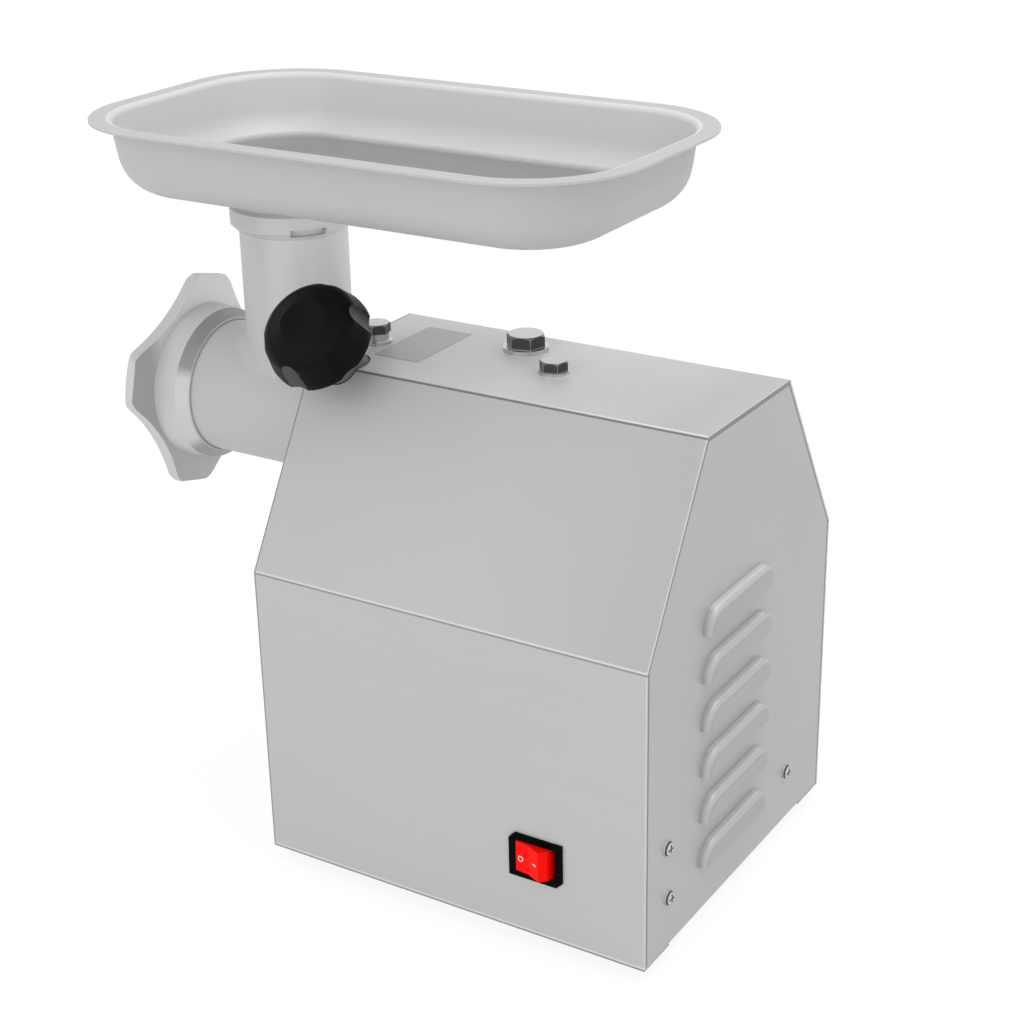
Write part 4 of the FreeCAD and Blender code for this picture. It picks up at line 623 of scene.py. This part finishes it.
# Painted light and shade on the louvres: darker faces, lighter upper sides and brightest tops. The dark edge
# tone and the outline are painted shade.
louvres = beyond("X", panel_flat + 0.2 * mm, panel_flat + 0.8 * mm)
louvre_faces = both(louvres, facing("X", 0.75, 0.9))
louvre_backs = both(louvres, facing("Z", 0.25, 0.5))
louvre_tops = both(louvres, facing("Z", 0.8, 0.97))
stainless_panel = metal(
    "stainless_panel", grey(0.49), across_panel, 0.45, metallic=0.35, edge_width=0.4 * mm, edge_tone=0.4,
    shades=[(louvre_faces, grey(0.39)), (louvre_backs, grey(0.5)), (louvre_tops, grey(0.68))],
    lines=[(panel_outline, grey(0.22))])
print(f"made {stainless_panel.name}: its louvres stand {round(louvre_depth / mm, 1)} mm out of the panel")

# %% [markdown]
# ### The tray
# The tray is pressed from thin polished sheet. Its inside is painted brighter than its outside, as painted
# light, and its floor is painted darker, as painted shade, since it lies deep in the bowl. The inner faces
# could be picked for a second material, but a mask is shorter: it finds them by whether a face looks
# towards the middle of the bowl.

# %% Finish of the tray
inward_least = 10 * mm

tray_low, tray_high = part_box("feed_tray")
tray_middle = (tray_low + tray_high) / 2


def tray_inside(tree):
    """A mask of one on the faces of the bowl that look towards its middle line."""
    from_middle = vector_node(tree, "SUBTRACT", coordinate(tree, "Object"), tray_middle)
    level = vector_node(tree, "MULTIPLY", from_middle, (1.0, 1.0, 0.0))
    match = vector_node(tree, "DOT_PRODUCT", level, coordinate(tree, "Normal"))
    return math_node(tree, "LESS_THAN", match, -inward_least)


# Painted shade on the floor of the bowl, and painted light on its inner faces.
tray_floor = both(facing("Z", 0.66, 0.8), beyond("Z", tray_high.z - 14 * mm, tray_high.z - 16 * mm))
tray_sheet = metal(
    "tray_sheet", grey(0.51), along_length, 0.6, clouds=0.12, edge_width=0.5 * mm, edge_tone=0.66,
    metallic=0.12, shades=[(tray_inside, grey(0.68)), (tray_floor, grey(0.29))])
print(f"made {tray_sheet.name} for a tray {round((tray_high.z - tray_low.z) / mm)} mm high")

# %% [markdown]
# ### The cast head and its nut
# The head and its ring nut are cast and tumbled, so they have no brushed lines, only soft clouds. The
# head's faces that point along the model's X axis are painted lighter, as painted light. Each side of the
# nut takes the light in its own way, and this is painted: its lobes carry a painted highlight above and
# painted shade near the viewer, and the cone behind them has a painted reflection with a dark top and a
# dark bottom. Masks by place and direction set these painted tones, since the nut is one piece.

# %% Finishes of the head and the nut
no_lines = (260.0, 260.0, 260.0)

# Painted light: faces of the head that point along X are painted lighter.
head_metal = metal("head_metal", grey(0.53), no_lines, 0.58, contrast=0.05, clouds=0.1, metallic=0.2,
                   bump=0.04, shades=[(facing("X", 0.0, 0.8), grey(0.84))])

nut_low, nut_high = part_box("ring_nut")
nut_middle = (nut_low + nut_high) / 2
nut_cone = beyond("X", nut_high.x - 6.8 * mm, nut_high.x - 6.4 * mm)
nut_cone_top = both(nut_cone, facing("Z", 0.3, 0.42))
nut_cone_bottom = both(nut_cone, facing("Z", -0.45, -0.6))
# Painted highlights and shade on the backs of the lobes, and a painted reflection on the cone behind them.
lobe_backs = facing("X", 0.7, 0.9)
upper_lobe_back = both(lobe_backs, beyond("Z", nut_middle.z + 20 * mm, nut_middle.z + 40 * mm))
near_lobe_back = both(lobe_backs, beyond("Y", nut_middle.y - 34 * mm, nut_middle.y - 44 * mm))
nut_metal = metal(
    "nut_metal", grey(0.6), no_lines, 0.5, contrast=0.05, clouds=0.1, metallic=0.25, bump=0.04,
    edge_width=0.6 * mm, edge_tone=0.85, border=0.2,
    shades=[(lobe_backs, grey(0.64)), (upper_lobe_back, grey(0.85)), (near_lobe_back, grey(0.52)),
            (nut_cone, grey(0.7)), (nut_cone_top, grey(0.34)), (nut_cone_bottom, grey(0.36))])
print("made", head_metal.name, "and", nut_metal.name)

# %% [markdown]
# ### Screws and zinc-plated pieces
# Small fasteners are zinc-plated. The screws of the rear panel have pan heads with a cross. The bright
# sides of a head and its slightly darker face are painted light and shade, and a dark ring of painted shade
# shows where the side turns over into the face. A groove could be cut there, but the imported model holds
# the solid as it is, so a band at that height draws the ring.

# %% Finishes of the small fasteners
bolt_zinc = metal("bolt_zinc", grey(0.6), no_lines, 0.3, edge_width=0.4 * mm, edge_tone=0.9)

# Painted light and shade on the pan heads: lighter sides, a darker face, a dark painted ring and dark painted
# edge lines.
_, screw_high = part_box("panel_screws")
screw_face = beyond("X", screw_high.x - 1.2 * mm, screw_high.x - 1.0 * mm)
screw_ring = band("X", screw_high.x - 1.5 * mm, screw_high.x - 0.9 * mm)
screw_zinc = metal("screw_zinc", grey(0.75), no_lines, 0.3, edge_width=0.5 * mm, edge_tone=0.12, metallic=0.6,
                   shades=[(screw_face, grey(0.6)), (screw_ring, grey(0.06))])
print("made", bolt_zinc.name, "and", screw_zinc.name)

# %% [markdown]
# ### Metals inside the machine
# The works inside show only when the head is drawn out or the machine is opened, except the boss of the
# cast case beside the knob, whose dark tone is partly its own grey and partly painted shade. They need no
# masks: each metal is a tone, a roughness and the direction of its lines. The stator is a stack of thin
# plates and the windings are wire, so both have strong lines.

# %% Finishes of the inner metals
plate_layers = (700.0, 20.0, 20.0)
wire_lines = (400.0, 30.0, 400.0)

plate_steel = metal("plate_steel", grey(0.42), no_lines, 0.3, edge_width=0.4 * mm)
auger_metal = metal("auger_metal", grey(0.5), no_lines, 0.42, clouds=0.1)
gear_steel = metal("gear_steel", grey(0.35), no_lines, 0.4, edge_width=0.3 * mm)
# The cast case's dark tone is partly its own grey and partly painted shade, so its boss, which shows beside
# the knob, matches the knob's shadow on the slope.
cast_alloy = metal("cast_alloy", grey(0.2), no_lines, 0.6, contrast=0.2, clouds=0.2, metallic=0.5)
motor_aluminium = metal("motor_aluminium", grey(0.45), no_lines, 0.5, clouds=0.12)
stator_steel = metal("stator_steel", grey(0.28), plate_layers, 0.5, contrast=0.3)
copper_wire = metal("copper_wire", (0.6, 0.24, 0.11, 1.0), wire_lines, 0.35, contrast=0.4)
bronze = metal("bronze", (0.55, 0.36, 0.17, 1.0), no_lines, 0.4)
inner_metals = [plate_steel, auger_metal, gear_steel, cast_alloy, motor_aluminium, stator_steel, copper_wire,
                bronze]
print("made", [finish.name for finish in inner_metals])

# %% [markdown]
# ### Dark bolt heads
# The hex bolts on the top are blackened steel whose upper faces are painted lighter, as painted light from
# above. These faces could have a material of their own, but a mask by direction finds all that point up.

# %% Blackened bolts
# Painted light on the faces of the bolts that point up.
blackened_steel = metal("blackened_steel", grey(0.075), no_lines, 0.38, edge_width=0.5 * mm, edge_tone=0.7,
                        edge_gain=0.7, shades=[(facing("Z", 0.6, 0.9), grey(0.62))])
print("made", blackened_steel.name)

# %% [markdown]
# ### The knob
# The clamp knob is black plastic, and two of its flutes are painted paler, as painted light, on the side
# that faces the light. A flute could be picked face by face in the mesh. Here a mask finds it: the flutes
# lean a little towards the end of the clamp's screw, which tells them from the rim and the crown, and each
# lies in a strip on one side of the knob. The masks read the flat normal of each facet, because smooth
# normals blur the flute's edge.

# %% Finish of the knob
knob_axis = Vector(joints["clamp_turn"]["axis"])
knob_middle = Vector(joints["clamp_turn"]["pos_m"])
knob_rear = Vector((1.0, 0.0, 0.0))
knob_far = knob_axis.cross(knob_rear)
flute_half = 5.4 * mm
flute_shine = math.radians(30)
rear_flute = math.radians(30)
lower_flute = math.radians(270)


def along(direction, low, high):
    """A mask that grows as flat faces turn to point along a direction that is no axis of the model."""
    def mask(tree):
        surface = tree.nodes.new("ShaderNodeNewGeometry")
        own_frame = tree.nodes.new("ShaderNodeVectorTransform")
        own_frame.vector_type = "NORMAL"
        own_frame.convert_from = "WORLD"
        own_frame.convert_to = "OBJECT"
        tree.links.new(surface.outputs["True Normal"], own_frame.inputs["Vector"])
        match = vector_node(tree, "DOT_PRODUCT", own_frame.outputs["Vector"], direction)
        return ramp_node(tree, match, low, high)
    return mask


def beside(point, direction, reach):
    """A mask of one up to a distance on either side of a plane through a point."""
    def mask(tree):
        away = vector_node(tree, "SUBTRACT", coordinate(tree, "Object"), point)
        distance = math_node(tree, "ABSOLUTE", vector_node(tree, "DOT_PRODUCT", away, direction))
        return math_node(tree, "LESS_THAN", distance, reach)
    return mask


def outward(turn):
    """The direction away from the knob's axis at an angle about it, counted from the rear."""
    return knob_rear * math.cos(turn) + knob_far * math.sin(turn)


def lit_flute(turn):
    """A mask of painted light on the flute at an angle about the knob's axis, strongest on the side that is
    lit.
    """
    leaning = both(along(knob_axis, 0.08, 0.11), along(knob_axis, 0.22, 0.19))
    strip = beside(knob_middle, knob_axis.cross(outward(turn)), flute_half)
    lit_side = along(outward(turn + flute_shine), 0.55, 1.0)
    return both(both(leaning, strip), lit_side)


# Painted light on the lit side of two flutes.
knob_black = moulded(
    "knob_black", grey(0.004), grey(0.012), 0.45, gloss=0.08,
    shades=[(lit_flute(rear_flute), grey(0.13)), (lit_flute(lower_flute), grey(0.09))])
print("made", knob_black.name, "with 2 flutes painted lighter")

# %% [markdown]
# ### Plastic, rubber and paper
# The switch, gland, feet, label and the small pieces inside are moulded or cut from sheet. One builder
# serves them all, and each has its own tone, dust and gloss.

# %% Moulded finishes
switch_black = moulded("switch_black", grey(0.001), grey(0.004), 0.4, gloss=0.03)
rocker_red = moulded("rocker_red", (1.0, 0.004, 0.0, 1.0), (1.0, 0.02, 0.002, 1.0), 0.4, gloss=0.06)
mark_white = moulded("mark_white", grey(0.85), grey(0.7), 0.4)
gland_black = moulded("gland_black", grey(0.02), grey(0.1), 0.5)
foot_rubber = moulded("foot_rubber", grey(0.018), grey(0.12), 0.75, dust_share=0.3, grain=0.2)
label_grey = moulded("label_grey", grey(0.61), grey(0.66), 0.4, grain=0.03, gloss=0.3)
gasket_paper = moulded("gasket_paper", (0.28, 0.2, 0.12, 1.0), (0.35, 0.28, 0.2, 1.0), 0.85)
terminal_nylon = moulded("terminal_nylon", grey(0.75), grey(0.6), 0.5)
seal_rubber = moulded("seal_rubber", grey(0.03), grey(0.1), 0.6)
fan_plastic = moulded("fan_plastic", grey(0.04), grey(0.12), 0.5)
moulded_finishes = [switch_black, rocker_red, mark_white, gland_black, foot_rubber, label_grey, gasket_paper,
                    terminal_nylon, seal_rubber, fan_plastic]
print("made", [finish.name for finish in moulded_finishes])

# %% [markdown]
# ## Dressing the nodes
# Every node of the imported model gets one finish. A list of nodes under each finish is easier to check
# than a finish beside each of 60 nodes, and the count that is printed shows if one was missed.

# %% Dress the nodes
finishes = {
    stainless_sheet: ["housing_shell"],
    stainless_panel: ["front_panel", "rear_panel", "base_plate"],
    tray_sheet: ["feed_tray", "tray_spout"],
    head_metal: ["grinder_head"],
    nut_metal: ["ring_nut"],
    blackened_steel: ["top_bolts", "middle_bolt"],
    bolt_zinc: ["top_washers", "middle_washer", "bolt_collar",
                "base_screws", "foot_screws", "foot_nuts", "nose_bolts", "cover_bolts", "cradle_bolts",
                "motor_bolts", "clamp_stud", "capacitor_clamp", "terminal_bracket"],
    screw_zinc: ["panel_screws"],
    plate_steel: ["grinding_plate", "cross_knife"],
    auger_metal: ["auger"],
    gear_steel: ["first_gear", "lay_shaft", "output_gear", "output_shaft", "motor_shaft", "plate_key",
                 "output_bearings", "lay_bearings", "motor_bearings"],
    cast_alloy: ["gearbox_case", "gearbox_cover", "motor_cradle"],
    motor_aluminium: ["motor_shell", "motor_front_bell", "motor_rear_bell", "capacitor"],
    stator_steel: ["stator_core", "rotor_core"],
    copper_wire: ["stator_windings"],
    bronze: ["rear_bush", "thrust_washer", "clamp_pad"],
    knob_black: ["clamp_knob"],
    switch_black: ["switch_body"],
    rocker_red: ["switch_rocker"],
    gland_black: ["cable_gland", "gland_nut"],
    foot_rubber: ["rubber_feet"],
    label_grey: ["label_plate"],
    gasket_paper: ["gearbox_gasket"],
    terminal_nylon: ["terminal_block"],
    seal_rubber: ["oil_seal"],
    fan_plastic: ["motor_fan"],
}
for finish, names in finishes.items():
    for name in names:
        nodes[name].data.materials.clear()
        nodes[name].data.materials.append(finish)
dressed = sum(len(names) for names in finishes.values())
print(f"dressed {dressed} of {len(nodes)} nodes")

# %% [markdown]
# ## Marks on the rocker
# A ring for off and a bar for on are printed on the rocker. A picture texture would need an image file,
# so each mark is a shape that stands out by a few hundredths of a millimetre. The ring is a profile turned
# about an axis, and the bar, a flat box, lies along the rocker. A ray from the side finds the face of the
# rocker that a mark belongs on, and the mark then rides on the rocker's body.

# %% Helpers for the marks
ring_steps = 48
sharp_angle = math.radians(35)
ray_start = -50 * mm

rocker = nodes["switch_rocker"]
pivot = Vector(joints["rocker_tilt"]["pos_m"])


def turned_mesh(name, profile):
    """A closed profile of (radius, height) points, turned about the Z axis."""
    mesh = bpy.data.meshes.new(name)
    corners = []
    for step in range(ring_steps):
        angle = 2 * math.pi * step / ring_steps
        for radius, height in profile:
            corners.append((radius * math.cos(angle), radius * math.sin(angle), height))
    count = len(profile)
    faces = []
    for step in range(ring_steps):
        here = step * count
        there = (step + 1) % ring_steps * count
        for point in range(count):
            after = (point + 1) % count
            faces.append((here + point, there + point, there + after, here + after))
    mesh.from_pydata(corners, [], faces)
    mesh.shade_smooth()
    mesh.set_sharp_from_angle(angle=sharp_angle)
    return mesh


def flat_box_mesh(name, length, width, height):
    mesh = bpy.data.meshes.new(name)
    shape = bmesh.new()
    bmesh.ops.create_cube(shape, size=1.0, matrix=Matrix.Diagonal((length, width, height, 1)))
    shape.to_mesh(mesh)
    shape.free()
    return mesh


def set_on_rocker(name, mesh, lengthwise, upwards):
    """Lay a mark on the rocker's face, at a place measured from the rocker's pivot."""
    mesh.materials.append(mark_white)
    piece = bpy.data.objects.new(name, mesh)
    bpy.context.scene.collection.objects.link(piece)
    start = pivot + Vector((lengthwise, ray_start, upwards))
    _, place, direction, _ = rocker.ray_cast(start, Vector((0, 1, 0)))
    piece.matrix_world = Matrix.Translation(place) @ direction.to_track_quat("Z", "Y").to_matrix().to_4x4()
    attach(piece, "rocker")
    print(name, "at", [round(value / mm, 1) for value in piece.matrix_world.translation])


print("the rocker turns about", [round(value / mm, 1) for value in pivot])

# %% Marks on the rocker
mark_height = 0.05 * mm
ring_inner = 1.2 * mm
ring_outer = 1.6 * mm
bar_length = 2.8 * mm
bar_width = 0.6 * mm

ring_profile = [(ring_inner, 0), (ring_outer, 0), (ring_outer, mark_height), (ring_inner, mark_height)]
set_on_rocker("off_mark", turned_mesh("off_mark", ring_profile), lengthwise=-7.8 * mm, upwards=-1.0 * mm)
bar = flat_box_mesh("on_mark", bar_length, bar_width, 2 * mark_height)
set_on_rocker("on_mark", bar, lengthwise=1.7 * mm, upwards=-0.2 * mm)
